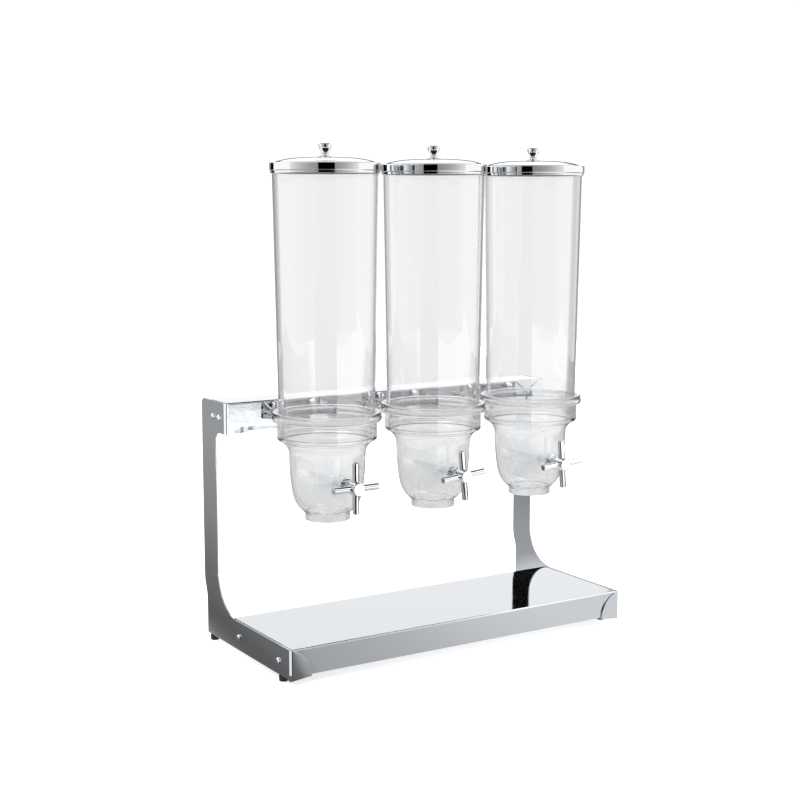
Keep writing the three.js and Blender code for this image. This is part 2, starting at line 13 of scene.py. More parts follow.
import bpy
import numpy as np
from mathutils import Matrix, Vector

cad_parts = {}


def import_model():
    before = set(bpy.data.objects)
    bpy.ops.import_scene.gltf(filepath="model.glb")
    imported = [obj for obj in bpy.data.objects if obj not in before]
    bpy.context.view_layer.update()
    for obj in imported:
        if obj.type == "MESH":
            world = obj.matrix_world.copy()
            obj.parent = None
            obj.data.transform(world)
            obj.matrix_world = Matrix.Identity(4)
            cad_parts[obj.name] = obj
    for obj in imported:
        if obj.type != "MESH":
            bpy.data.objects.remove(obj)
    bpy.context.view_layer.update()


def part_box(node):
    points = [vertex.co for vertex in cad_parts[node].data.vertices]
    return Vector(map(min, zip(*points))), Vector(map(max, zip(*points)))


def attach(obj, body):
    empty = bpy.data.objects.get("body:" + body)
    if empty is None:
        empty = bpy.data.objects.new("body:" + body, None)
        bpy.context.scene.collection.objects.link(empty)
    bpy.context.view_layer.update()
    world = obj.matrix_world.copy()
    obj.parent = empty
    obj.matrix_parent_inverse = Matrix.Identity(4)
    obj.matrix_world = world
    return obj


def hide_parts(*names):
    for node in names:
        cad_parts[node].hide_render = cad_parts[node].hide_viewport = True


LOG = logging.getLogger("dispenser")
MM = 0.001   # metres in a millimetre
GAP = 0.3    # mm of air between pieces that touch in use
ONCE = 0.5   # a count of a ray's crossings or turns above this is one or more
Array = np.ndarray
Corner = tuple[float, float, float]
Basis = tuple[tuple[float, float, float], ...]

# Where a surface's own X, Y and Z are laid when it is turned.
Z_TO_FRONT: Basis = ((1, 0, 0), (0, 0, 1), (0, -1, 0))
Z_TO_BACK: Basis = ((1, 0, 0), (0, 0, -1), (0, 1, 0))
Z_TO_RIGHT: Basis = ((0, 0, 1), (0, 1, 0), (1, 0, 0))
SECTION_TO_SIDE: Basis = ((0, 1, 0), (0, 0, 1), (1, 0, 0))


# ------------------------------------------------------------------ colour and nodes


def linear(hex_colour: str) -> tuple[float, float, float, float]:
    """Turns an sRGB hex colour into linear light.

    Args:
        hex_colour: Six hex digits with a leading hash.

    Returns:
        Linear red, green, blue and an alpha of one.
    """
    parts = np.array([int(hex_colour[i : i + 2], 16) for i in (1, 3, 5)]) / 255
    light = np.where(parts <= 0.04045, parts / 12.92, ((parts + 0.055) / 1.055) ** 2.4)
    return (*light.tolist(), 1.0)


def add_node(
    tree: bpy.types.NodeTree, kind: str, inputs: dict | None = None, **settings: object,
) -> bpy.types.Node:
    """Adds a node with its settings, values and links.

    Args:
        tree: The tree that gets the node.
        kind: The node's type name.
        inputs: Socket name or number to a value, or to an output socket that is linked in.
        settings: Properties of the node itself.

    Returns:
        The new node.
    """
    made = tree.nodes.new(kind)
    for key, value in settings.items():
        setattr(made, key, value)
    for key, value in (inputs or {}).items():
        if isinstance(value, bpy.types.NodeSocket):
            tree.links.new(value, made.inputs[key])
        else:
            made.inputs[key].default_value = value
    return made


def new_material(name: str) -> tuple[bpy.types.Material, bpy.types.NodeTree]:
    """Makes an empty node material and returns it with its tree."""
    material = bpy.data.materials.new(name)
    material.use_nodes = True
    material.node_tree.nodes.clear()
    return material, material.node_tree


# ------------------------------------------------------------------ finishes


def mixed(tree: bpy.types.NodeTree, share: object, first: object, second: object) -> bpy.types.NodeSocket:
    """A number between two others: the first where the share is nought, the second where it is one.

    Args:
        tree: The node tree to add to.
        share: The share of the second, as a number or a socket.
        first: Number or socket.
        second: Number or socket.

    Returns:
        The socket that carries the number.
    """
    # The Mix node's sockets 0, 2 and 3 are its factor and its two numbers.
    return add_node(tree, "ShaderNodeMix", {0: share, 2: first, 3: second}).outputs[0]


def mirrored(tree: bpy.types.NodeTree) -> bpy.types.NodeSocket:
    """One on rays that left a mirror without crossing clear plastic first, and nought on all others.

    Args:
        tree: The node tree to add to.

    Returns:
        The socket that carries the value.
    """
    path = add_node(tree, "ShaderNodeLightPath")
    crossings = path.outputs["Transmission Depth"]
    direct = add_node(tree, "ShaderNodeMath", {0: crossings, 1: ONCE}, operation="LESS_THAN")
    return add_node(tree, "ShaderNodeMath", {
        0: path.outputs["Is Glossy Ray"], 1: direct.outputs["Value"],
    }, operation="MULTIPLY").outputs["Value"]


@dataclass(frozen=True)
class MirrorSteel:
    """Stainless sheet, rolled flat and buffed to a mirror.

    The sheet never lies quite flat, so reflections swim a little, and the last mop leaves faint lines that
    run one way and spread each highlight by a hair.
    """

    name: str = "stainless_304_mirror_buffed"
    colour: str = "#c9ccd0"
    rough_low: float = 0.035
    rough_high: float = 0.085
    mop_line: float = 0.9      # mm between mop lines, coarser than the real 0.1 so that they show
    mop_run: float = 60.0      # mm that one line runs
    sheet_wave: float = 150.0  # mm between the crests of the sheet
    smudge: float = 45.0       # mm across a wiped patch

    def make(self) -> bpy.types.Material:
        """Builds the material."""
        material, tree = new_material(self.name)
        place = add_node(tree, "ShaderNodeTexCoord").outputs["Object"]
        smudge = add_node(tree, "ShaderNodeTexNoise", {
            "Vector": place, "Scale": 1000 / self.smudge, "Detail": 4,
        })
        rough = add_node(tree, "ShaderNodeMapRange", {
            "Value": smudge.outputs["Fac"], "From Min": 0.3, "From Max": 0.7,
            "To Min": self.rough_low, "To Max": self.rough_high,
        })
        stretch = (1000 / self.mop_run, 1000 / self.mop_line, 1000 / self.mop_line)
        lines_at = add_node(tree, "ShaderNodeMapping", {"Vector": place, "Scale": stretch})
        lines = add_node(tree, "ShaderNodeTexNoise", {
            "Vector": lines_at.outputs["Vector"], "Scale": 1, "Detail": 2,
        })
        wave = add_node(tree, "ShaderNodeTexNoise", {
            "Vector": place, "Scale": 1000 / self.sheet_wave, "Detail": 0,
        })
        fine = add_node(tree, "ShaderNodeBump", {
            "Height": lines.outputs["Fac"], "Strength": 0.05, "Distance": 0.00003,
        })
        broad = add_node(tree, "ShaderNodeBump", {
            "Height": wave.outputs["Fac"], "Strength": 0.5, "Distance": 0.0006,
            "Normal": fine.outputs["Normal"],
        })
        shader = add_node(tree, "ShaderNodeBsdfPrincipled", {
            "Base Color": linear(self.colour), "Metallic": 1.0,
            "Roughness": rough.outputs["Result"], "Normal": broad.outputs["Normal"],
        })
        add_node(tree, "ShaderNodeOutputMaterial", {"Surface": shader.outputs["BSDF"]})
        return material


@dataclass(frozen=True)
class Chrome:
    """Bright chromium plate over polished brass or stamped steel.

    Plating copies what lies under it, so there is a trace of orange peel and of fingers.
    """

    name: str = "bright_chrome_plated"
    colour: str = "#e4e6e8"
    rough_low: float = 0.02
    rough_high: float = 0.06
    peel: float = 2.2        # mm between the bumps of the peel
    print_size: float = 9.0  # mm across a fingerprint

    def make(self) -> bpy.types.Material:
        """Builds the material."""
        material, tree = new_material(self.name)
        place = add_node(tree, "ShaderNodeTexCoord").outputs["Object"]
        touch = add_node(tree, "ShaderNodeTexNoise", {
            "Vector": place, "Scale": 1000 / self.print_size, "Detail": 5,
        })
        rough = add_node(tree, "ShaderNodeMapRange", {
            "Value": touch.outputs["Fac"], "From Min": 0.35, "From Max": 0.75,
            "To Min": self.rough_low, "To Max": self.rough_high,
        })
        peel = add_node(tree, "ShaderNodeTexNoise", {
            "Vector": place, "Scale": 1000 / self.peel, "Detail": 1,
        })
        bump = add_node(tree, "ShaderNodeBump", {
            "Height": peel.outputs["Fac"], "Strength": 0.06, "Distance": 0.00005,
        })
        shader = add_node(tree, "ShaderNodeBsdfPrincipled", {
            "Base Color": linear(self.colour), "Metallic": 1.0,
            "Roughness": rough.outputs["Result"], "Normal": bump.outputs["Normal"],
        })
        add_node(tree, "ShaderNodeOutputMaterial", {"Surface": shader.outputs["BSDF"]})
        return material


@dataclass(frozen=True)
class ClearPolycarbonate:
    """Water-clear polycarbonate, injection moulded or drawn as a tube.

    It bends light strongly, so its edges read dark, and the flow of the melt leaves long soft ripples. Lamps
    shine through it onto what is inside, instead of being stopped as by a solid body.
    """

    name: str = "polycarbonate_clear_moulded"
    colour: str = "#fafafa"
    ior: float = 1.585
    ripple: float = 38.0            # mm between flow ripples round the piece
    ripple_run: float = 140.0       # mm that one ripple runs up the piece
    ripple_depth: float = 0.00012   # metres from crest to hollow
    rough_high: float = 0.03
    haze: float = 60.0              # mm across a patch of fine scuffs
    fades: float = 0.97             # how much of it goes missing from what polished steel reflects

    def make(self) -> bpy.types.Material:
        """Builds the material."""
        material, tree = new_material(self.name)
        place = add_node(tree, "ShaderNodeTexCoord").outputs["Object"]
        stretch = (1000 / self.ripple, 1000 / self.ripple, 1000 / self.ripple_run)
        ripple_at = add_node(tree, "ShaderNodeMapping", {"Vector": place, "Scale": stretch})
        ripple = add_node(tree, "ShaderNodeTexNoise", {
            "Vector": ripple_at.outputs["Vector"], "Scale": 1, "Detail": 1,
        })
        bump = add_node(tree, "ShaderNodeBump", {
            "Height": ripple.outputs["Fac"], "Strength": 0.6, "Distance": self.ripple_depth,
        })
        haze = add_node(tree, "ShaderNodeTexNoise", {
            "Vector": place, "Scale": 1000 / self.haze, "Detail": 6,
        })
        rough = add_node(tree, "ShaderNodeMapRange", {
            "Value": haze.outputs["Fac"], "From Min": 0.45, "From Max": 0.8,
            "To Min": 0.0, "To Max": self.rough_high,
        })
        body = add_node(tree, "ShaderNodeBsdfPrincipled", {
            "Base Color": linear(self.colour), "IOR": self.ior, "Transmission Weight": 1.0,
            "Roughness": rough.outputs["Result"], "Normal": bump.outputs["Normal"],
        })
        let_through = add_node(tree, "ShaderNodeBsdfTransparent", {"Color": linear(self.colour)})
        path = add_node(tree, "ShaderNodeLightPath")
        reflected = add_node(tree, "ShaderNodeMath", {
            0: mirrored(tree), 1: self.fades,
        }, operation="MULTIPLY")
        faded = add_node(tree, "ShaderNodeMath", {
            0: path.outputs["Is Shadow Ray"], 1: reflected.outputs["Value"],
        }, operation="MAXIMUM")
        surface = add_node(tree, "ShaderNodeMixShader", {
            0: faded.outputs["Value"], 1: body.outputs["BSDF"], 2: let_through.outputs["BSDF"],
        })
        add_node(tree, "ShaderNodeOutputMaterial", {"Surface": surface.outputs["Shader"]})
        return material


@dataclass(frozen=True)
class FrostedPlastic:
    """Natural polypropylene, moulded thin against a satin tool.

    It is milky, and lets the shapes behind it glow through.
    """

    name: str = "polypropylene_natural_moulded"
    colour: str = "#f6f7f8"
    see_through: float = 0.78  # share of the light that passes without being scattered
    glow: float = 0.55         # share of the rest that crosses the wall instead of turning back
    roughness: float = 0.22
    grain: float = 1.6         # mm between grains of the tool, coarser than the real 0.2 so that they show

    def make(self) -> bpy.types.Material:
        """Builds the material."""
        material, tree = new_material(self.name)
        place = add_node(tree, "ShaderNodeTexCoord").outputs["Object"]
        grain = add_node(tree, "ShaderNodeTexNoise", {
            "Vector": place, "Scale": 1000 / self.grain, "Detail": 3,
        })
        bump = add_node(tree, "ShaderNodeBump", {
            "Height": grain.outputs["Fac"], "Strength": 0.15, "Distance": 0.0001,
        })
        milk = add_node(tree, "ShaderNodeBsdfPrincipled", {
            "Base Color": linear(self.colour), "Roughness": self.roughness,
            "Normal": bump.outputs["Normal"],
        })
        glow = add_node(tree, "ShaderNodeBsdfTranslucent", {"Color": linear(self.colour)})
        wall = add_node(tree, "ShaderNodeMixShader", {
            0: self.glow, 1: milk.outputs["BSDF"], 2: glow.outputs["BSDF"],
        })
        through = add_node(tree, "ShaderNodeBsdfTransparent")
        surface = add_node(tree, "ShaderNodeMixShader", {
            0: self.see_through, 1: wall.outputs["Shader"], 2: through.outputs["BSDF"],
        })
        add_node(tree, "ShaderNodeOutputMaterial", {"Surface": surface.outputs["Shader"]})
        return material


@dataclass(frozen=True)
class Silicone:
    """Food-grade silicone, compression moulded: soft, cloudy and matt, with a fine powdery bloom."""

    name: str = "silicone_food_grade_moulded"
    colour: str = "#f4f5f6"
    see_through: float = 0.5  # share of the light that passes without being scattered
    glow: float = 0.5         # share of the rest that crosses the paddle instead of turning back
    roughness: float = 0.5
    bloom: float = 5.0        # mm across a patch of bloom

    def make(self) -> bpy.types.Material:
        """Builds the material."""
        material, tree = new_material(self.name)
        place = add_node(tree, "ShaderNodeTexCoord").outputs["Object"]
        bloom = add_node(tree, "ShaderNodeTexNoise", {
            "Vector": place, "Scale": 1000 / self.bloom, "Detail": 4,
        })
        bump = add_node(tree, "ShaderNodeBump", {
            "Height": bloom.outputs["Fac"], "Strength": 0.1, "Distance": 0.0001,
        })
        body = add_node(tree, "ShaderNodeBsdfPrincipled", {
            "Base Color": linear(self.colour), "Roughness": self.roughness,
            "Normal": bump.outputs["Normal"],
        })
        glow = add_node(tree, "ShaderNodeBsdfTranslucent", {"Color": linear(self.colour)})
        wall = add_node(tree, "ShaderNodeMixShader", {
            0: self.glow, 1: body.outputs["BSDF"], 2: glow.outputs["BSDF"],
        })
        through = add_node(tree, "ShaderNodeBsdfTransparent")
        surface = add_node(tree, "ShaderNodeMixShader", {
            0: self.see_through, 1: wall.outputs["Shader"], 2: through.outputs["BSDF"],
        })
        add_node(tree, "ShaderNodeOutputMaterial", {"Surface": surface.outputs["Shader"]})
        return material


@dataclass(frozen=True)
class BlackRubber:
    """Black rubber, compression moulded, with a dull skin that greys where it rubs."""

    name: str = "rubber_black_moulded"
    dark: str = "#101112"
    worn: str = "#2c2d2f"
    roughness: float = 0.62
    grain: float = 1.2  # mm between the grains of the skin

    def make(self) -> bpy.types.Material:
        """Builds the material."""
        material, tree = new_material(self.name)
        place = add_node(tree, "ShaderNodeTexCoord").outputs["Object"]
        grain = add_node(tree, "ShaderNodeTexNoise", {
            "Vector": place, "Scale": 1000 / self.grain, "Detail": 3,
        })
        tint = add_node(tree, "ShaderNodeValToRGB", {0: grain.outputs["Fac"]})
        tint.color_ramp.elements[0].color = linear(self.dark)
        tint.color_ramp.elements[1].color = linear(self.worn)
        bump = add_node(tree, "ShaderNodeBump", {
            "Height": grain.outputs["Fac"], "Strength": 0.3, "Distance": 0.0001,
        })
        shader = add_node(tree, "ShaderNodeBsdfPrincipled", {
            "Base Color": tint.outputs["Color"], "Roughness": self.roughness,
            "Normal": bump.outputs["Normal"],
        })
        add_node(tree, "ShaderNodeOutputMaterial", {"Surface": shader.outputs["BSDF"]})
        return material


class Finish(Enum):
    """The finishes of the dispenser, each with the record's slot that it belongs to."""

    STEEL = ("polished_steel", MirrorSteel())
    CHROME = ("chrome", Chrome())
    CLEAR = ("clear_plastic", ClearPolycarbonate())
    FROSTED = ("frosted_plastic", FrostedPlastic())
    SILICONE = ("silicone", Silicone())
    RUBBER = ("black_rubber", BlackRubber())

    @property
    def slot(self) -> str:
        """The record's material slot."""
        return self.value[0]

    def material(self) -> bpy.types.Material:
        """The finish's material, made once."""
        maker = self.value[1]
        return bpy.data.materials.get(maker.name) or maker.make()


# ------------------------------------------------------------------ outlines


def rounded(corners: Sequence[Corner], closed: bool = True, steps: int = 5, hold: float = 0.2) -> Array:
    """Rounds an outline's corners.

    A corner gives way to the circular arc that touches both of its sides: the arc's centre lies on the
    bisector, and its points swing from one touching radius to the other. A hold point just past each end of
    an arc keeps the shading of long straight sides flat.

    Args:
        corners: (a, b, radius) of each corner in turn.
        closed: Whether the last corner joins the first. An open outline keeps its two ends sharp.
        steps: Straight steps in each arc.
        hold: Distance from an arc's end to its hold point.

    Returns:
        The outline's points, one row each.
    """
    places = np.array([[a, b] for a, b, _ in corners], float)
    count = len(corners)
    pieces = []
    for i, (_, _, radius) in enumerate(corners):
        here = places[i]
        if radius <= 0 or (not closed and i in (0, count - 1)):
            pieces.append(here[None])
            continue
        to_last, to_next = places[i - 1] - here, places[(i + 1) % count] - here
        last_length, next_length = np.linalg.norm(to_last), np.linalg.norm(to_next)
        to_last, to_next = to_last / last_length, to_next / next_length
        half = math.acos(np.clip(to_last @ to_next, -1, 1)) / 2
        reach = min(radius / math.tan(half), 0.49 * last_length, 0.49 * next_length)
        radius = reach * math.tan(half)
        centre = here + (to_last + to_next) / np.linalg.norm(to_last + to_next) * radius / math.sin(half)
        start, end = here + to_last * reach - centre, here + to_next * reach - centre
        swing = math.pi - 2 * half
        share = np.linspace(0, 1, steps + 1)[:, None]
        arc = centre + (np.sin((1 - share) * swing) * start + np.sin(share * swing) * end) / math.sin(swing)
        before = [here + to_last * (reach + hold)] if last_length > 2 * (reach + hold) else []
        after = [here + to_next * (reach + hold)] if next_length > 2 * (reach + hold) else []
        pieces.append(np.vstack([*before, arc, *after]))
    return np.vstack(pieces)


def bezier(start: Sequence[float], pull: Sequence[float], end: Sequence[float], steps: int) -> Array:
    """Points of a quadratic curve: start (1-t)^2 + 2 pull t (1-t) + end t^2."""
    t = np.linspace(0, 1, steps + 1)[:, None]
    return np.array(start) * (1 - t) ** 2 + 2 * np.array(pull) * t * (1 - t) + np.array(end) * t**2


def inset_path(path: Array, distance: float) -> Array:
    """Moves each point of an open path to its right by a distance, square to the path there."""
    along = np.gradient(path, axis=0)
    along /= np.linalg.norm(along, axis=1)[:, None]
    return path + np.stack([along[:, 1], -along[:, 0]], 1) * distance


# ------------------------------------------------------------------ surfaces


@dataclass
class Surface:
    """A surface as whole arrays: points in millimetres and the corner numbers of its faces."""

    points: Array
    faces: list[list[int]]

    def moved(self, offset: Sequence[float]) -> "Surface":
        """The surface moved by an offset in millimetres."""
        return Surface(self.points + np.array(offset), self.faces)

    def turned(self, basis: Basis) -> "Surface":
        """The surface with its X, Y and Z laid along the three rows of a basis."""
        return Surface(self.points @ np.array(basis, float), self.faces)

    def mesh(self, name: str, sharp_degrees: float = 35) -> bpy.types.Mesh:
        """The surface as a smooth mesh in metres with its faces pointing out.

        Args:
            name: The mesh's name.
            sharp_degrees: Edges that turn by more than this stay crisp.

        Returns:
            The mesh.
        """
        mesh = bpy.data.meshes.new(name)
        mesh.from_pydata(self.points * MM, [], self.faces)
        mesh.validate()
        loops = mesh.loop_triangles
        mesh.calc_loop_triangles()
        corners = np.empty(len(loops) * 3, int)
        loops.foreach_get("vertices", corners)
        a, b, c = (self.points[corners.reshape(-1, 3)[:, k]] for k in range(3))
        if np.einsum("ij,ij->", a, np.cross(b, c)) < 0:
            mesh.flip_normals()
        mesh.shade_smooth()
        mesh.set_sharp_from_angle(angle=math.radians(sharp_degrees))
        return mesh


def grid_faces(rows: int, columns: int, wrap_rows: bool) -> Array:
    """Quads between the rows of a grid whose columns run round and join."""
    row = np.arange(rows if wrap_rows else rows - 1)[:, None]
    column = np.arange(columns)[None]
    below, right = (row + 1) % rows, (column + 1) % columns
    here, under = row * columns, below * columns
    quads = [here + column, here + right, under + right, under + column]
    return np.stack([np.broadcast_to(q, (len(row), columns)) for q in quads], -1).reshape(-1, 4)


def turn(profile: Array, sides: int = 128, reach: Callable[[Array], Array] | None = None) -> Surface:
    """Turns a profile about the vertical: (r, z) at angle a goes to (r cos a, r sin a, z).

    Args:
        profile: (r, z) rows. It closes on itself, or starts and ends on the axis.
        sides: Points round the axis.
        reach: Gives the greatest radius at each angle, as for a nut's flats. None leaves the profile round.

    Returns:
        The closed surface.
    """
    angle = np.linspace(0, 2 * np.pi, sides, endpoint=False)
    poles = profile[0, 0] < 1e-6 and profile[-1, 0] < 1e-6
    body = profile[1:-1] if poles else profile
    radius = np.repeat(body[:, :1], sides, 1)
    if reach is not None:
        radius = np.minimum(radius, reach(angle)[None])
    height = np.repeat(body[:, 1:], sides, 1)
    points = np.stack([radius * np.cos(angle), radius * np.sin(angle), height], -1).reshape(-1, 3)
    faces = grid_faces(len(body), sides, wrap_rows=not poles).tolist()
    if poles:
        tips = np.array([[0, 0, profile[0, 1]], [0, 0, profile[-1, 1]]])
        first, last = len(points), len(points) + 1
        points = np.vstack([points, tips])
        here = np.arange(sides)
        after = (here + 1) % sides
        bottom = (len(body) - 1) * sides
        faces += np.stack([np.full(sides, first), after, here], 1).tolist()
        faces += np.stack([np.full(sides, last), bottom + here, bottom + after], 1).tolist()
    return Surface(points, faces)


def prism(outline: Array, low: float, high: float, edge: float = 0.0, steps: int = 3) -> Surface:
    """Pulls a flat outline up from one height to another, with softly turned rims.

    Each rim is a quarter circle: at angle a the outline is drawn in by edge (1 - cos a) and the height falls
    by edge (1 - sin a).

    Args:
        outline: (x, y) rows of a closed outline.
        low: Height of the lower end.
        high: Height of the upper end.
        edge: Radius of the rims.
        steps: Steps in each rim.

    Returns:
        The closed surface, with a flat cap at each end.
    """
    along = np.roll(outline, -1, 0) - np.roll(outline, 1, 0)
    along /= np.linalg.norm(along, axis=1)[:, None]
    inward = np.stack([-along[:, 1], along[:, 0]], 1)
    x, y = outline.T
    if x @ np.roll(y, -1) - y @ np.roll(x, -1) < 0:
        inward = -inward
    rim = np.linspace(0, np.pi / 2, steps + 1) if edge > 0 else np.array([0.0])
    drawn = edge * (1 - np.cos(rim))[::-1]
    fall = edge * (1 - np.sin(rim))[::-1]
    heights = np.concatenate([low + fall, (high - fall)[::-1]])
    insets = np.concatenate([drawn, drawn[::-1]])
    rings = outline[None] + inward[None] * insets[:, None, None]
    tall = np.broadcast_to(heights[:, None, None], (*rings.shape[:2], 1))
    points = np.concatenate([rings, tall], -1).reshape(-1, 3)
    count = len(outline)
    faces = grid_faces(len(heights), count, wrap_rows=False).tolist()
    faces.append(list(range(count))[::-1])
    faces.append(list(range(len(points) - count, len(points))))
    return Surface(points, faces)


def folded_tray(size: Sequence[float], bend: float, sheet: float, corner: float) -> Surface:
    """An inverted tray of folded sheet about the middle of its top face.

    Rings of one rounded rectangle run over the top's edge, down the skirt, round its rim and up inside. A
    ring that is drawn in by i has sides shorter by 2 i and corners tighter by i.

    Args:
        size: Length along X, depth along Y and height of the tray.
        bend: Outer radius of the folds.
        sheet: Thickness.
        corner: Radius of the upright corners.

    Returns:
        The closed surface, with its top at height zero.
    """
    length, depth, height = size
    path = rounded([
        (4 * bend, 0, 0), (0, 0, bend), (0, -height, sheet * 0.4), (sheet, -height, sheet * 0.4),
        (sheet, -sheet, bend - sheet), (4 * bend, -sheet, 0),
    ], closed=False, steps=8, hold=0.4)
    quarter = np.linspace(0, np.pi / 2, 7)
    turns = np.concatenate([quarter + k * np.pi / 2 for k in range(4)])
    side_x = np.repeat([1, -1, -1, 1], len(quarter))
    side_y = np.repeat([1, 1, -1, -1], len(quarter))
    inset = path[:, :1]
    tight = np.maximum(corner - inset, 0.05)
    x = side_x * (length / 2 - inset - tight) + tight * np.cos(turns)
    y = side_y * (depth / 2 - inset - tight) + tight * np.sin(turns)
    z = np.broadcast_to(path[:, 1:], x.shape)
    points = np.stack([x, y, z], -1).reshape(-1, 3)
    count = len(turns)
    faces = grid_faces(len(path), count, wrap_rows=False).tolist()
    faces.append(list(range(count))[::-1])
    faces.append(list(range(len(points) - count, len(points))))
    return Surface(points, faces)


# ------------------------------------------------------------------ pieces


class Cut(Enum):
    """How one solid changes another."""

    JOIN = "UNION"
    CUT = "DIFFERENCE"
    KEEP = "INTERSECT"


def applied(mesh: bpy.types.Mesh, add_modifiers: Callable[[bpy.types.Object], None]) -> bpy.types.Mesh:
    """Runs modifiers on a mesh and returns the finished mesh in its place."""
    maker = bpy.data.objects.new("bench", mesh)
    bpy.context.scene.collection.objects.link(maker)
    add_modifiers(maker)
    graph = bpy.context.evaluated_depsgraph_get()
    graph.update()
    made = bpy.data.meshes.new_from_object(maker.evaluated_get(graph))
    name = mesh.name
    bpy.data.objects.remove(maker)
    bpy.data.meshes.remove(mesh)
    made.name = name
    return made


def worked(
    base: bpy.types.Mesh, *steps: tuple[Cut, bpy.types.Mesh], sharp_degrees: float = 35,
) -> bpy.types.Mesh:
    """Joins, cuts or trims a mesh by others, in order.

    Args:
        base: The mesh that is worked on.
        steps: How, and the mesh that does it.
        sharp_degrees: Edges that turn by more than this stay crisp.

    Returns:
        The finished mesh.
    """
    helpers = []
    for how, tool in steps:
        helper = bpy.data.objects.new("tool", tool)
        bpy.context.scene.collection.objects.link(helper)
        helpers.append((how, helper))

    def stack(obj: bpy.types.Object) -> None:
        """Adds one boolean step for each tool."""
        for how, helper in helpers:
            step = obj.modifiers.new(how.value, "BOOLEAN")
            step.operation = how.value
            step.solver = "EXACT"
            step.object = helper

    made = applied(base, stack)
    for _, helper in helpers:
        tool = helper.data
        bpy.data.objects.remove(helper)
        bpy.data.meshes.remove(tool)
    made.shade_smooth()
    made.set_sharp_from_angle(angle=math.radians(sharp_degrees))
    return made


@dataclass
class Shop:
    """Puts finished pieces into the scene, on their bodies and in their finishes."""

    made: list[str] = field(default_factory=list)

    def piece(self, name: str, mesh: bpy.types.Mesh, finish: Finish, body: str, node: str,
              offset: Sequence[float] = (0, 0, 0)) -> bpy.types.Object:
        """Adds a piece that stands for a CAD node.

        Args:
            name: The piece's name.
            mesh: Its mesh. It is copied, so that one mesh can serve several stations.
            finish: Its finish.
            body: The body that it rides on.
            node: The CAD node that it stands for.
            offset: Its place in metres.

        Returns:
            The new object.
        """
        own = mesh.copy()
        own.name = name
        places = np.empty(len(own.vertices) * 3, np.float32)
        own.vertices.foreach_get("co", places)
        places = places.reshape(-1, 3) + np.array(offset, np.float32)
        own.vertices.foreach_set("co", places.ravel())
        own.update()
        own.materials.clear()
        own.materials.append(finish.material())
        obj = bpy.data.objects.new(name, own)
        bpy.context.scene.collection.objects.link(obj)
        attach(obj, body)
        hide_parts(node)
        self.made.append(name)
        LOG.info("%s: %d faces, %s, on %s", name, len(own.polygons), finish.slot, body)
        return obj


# ------------------------------------------------------------------ stand


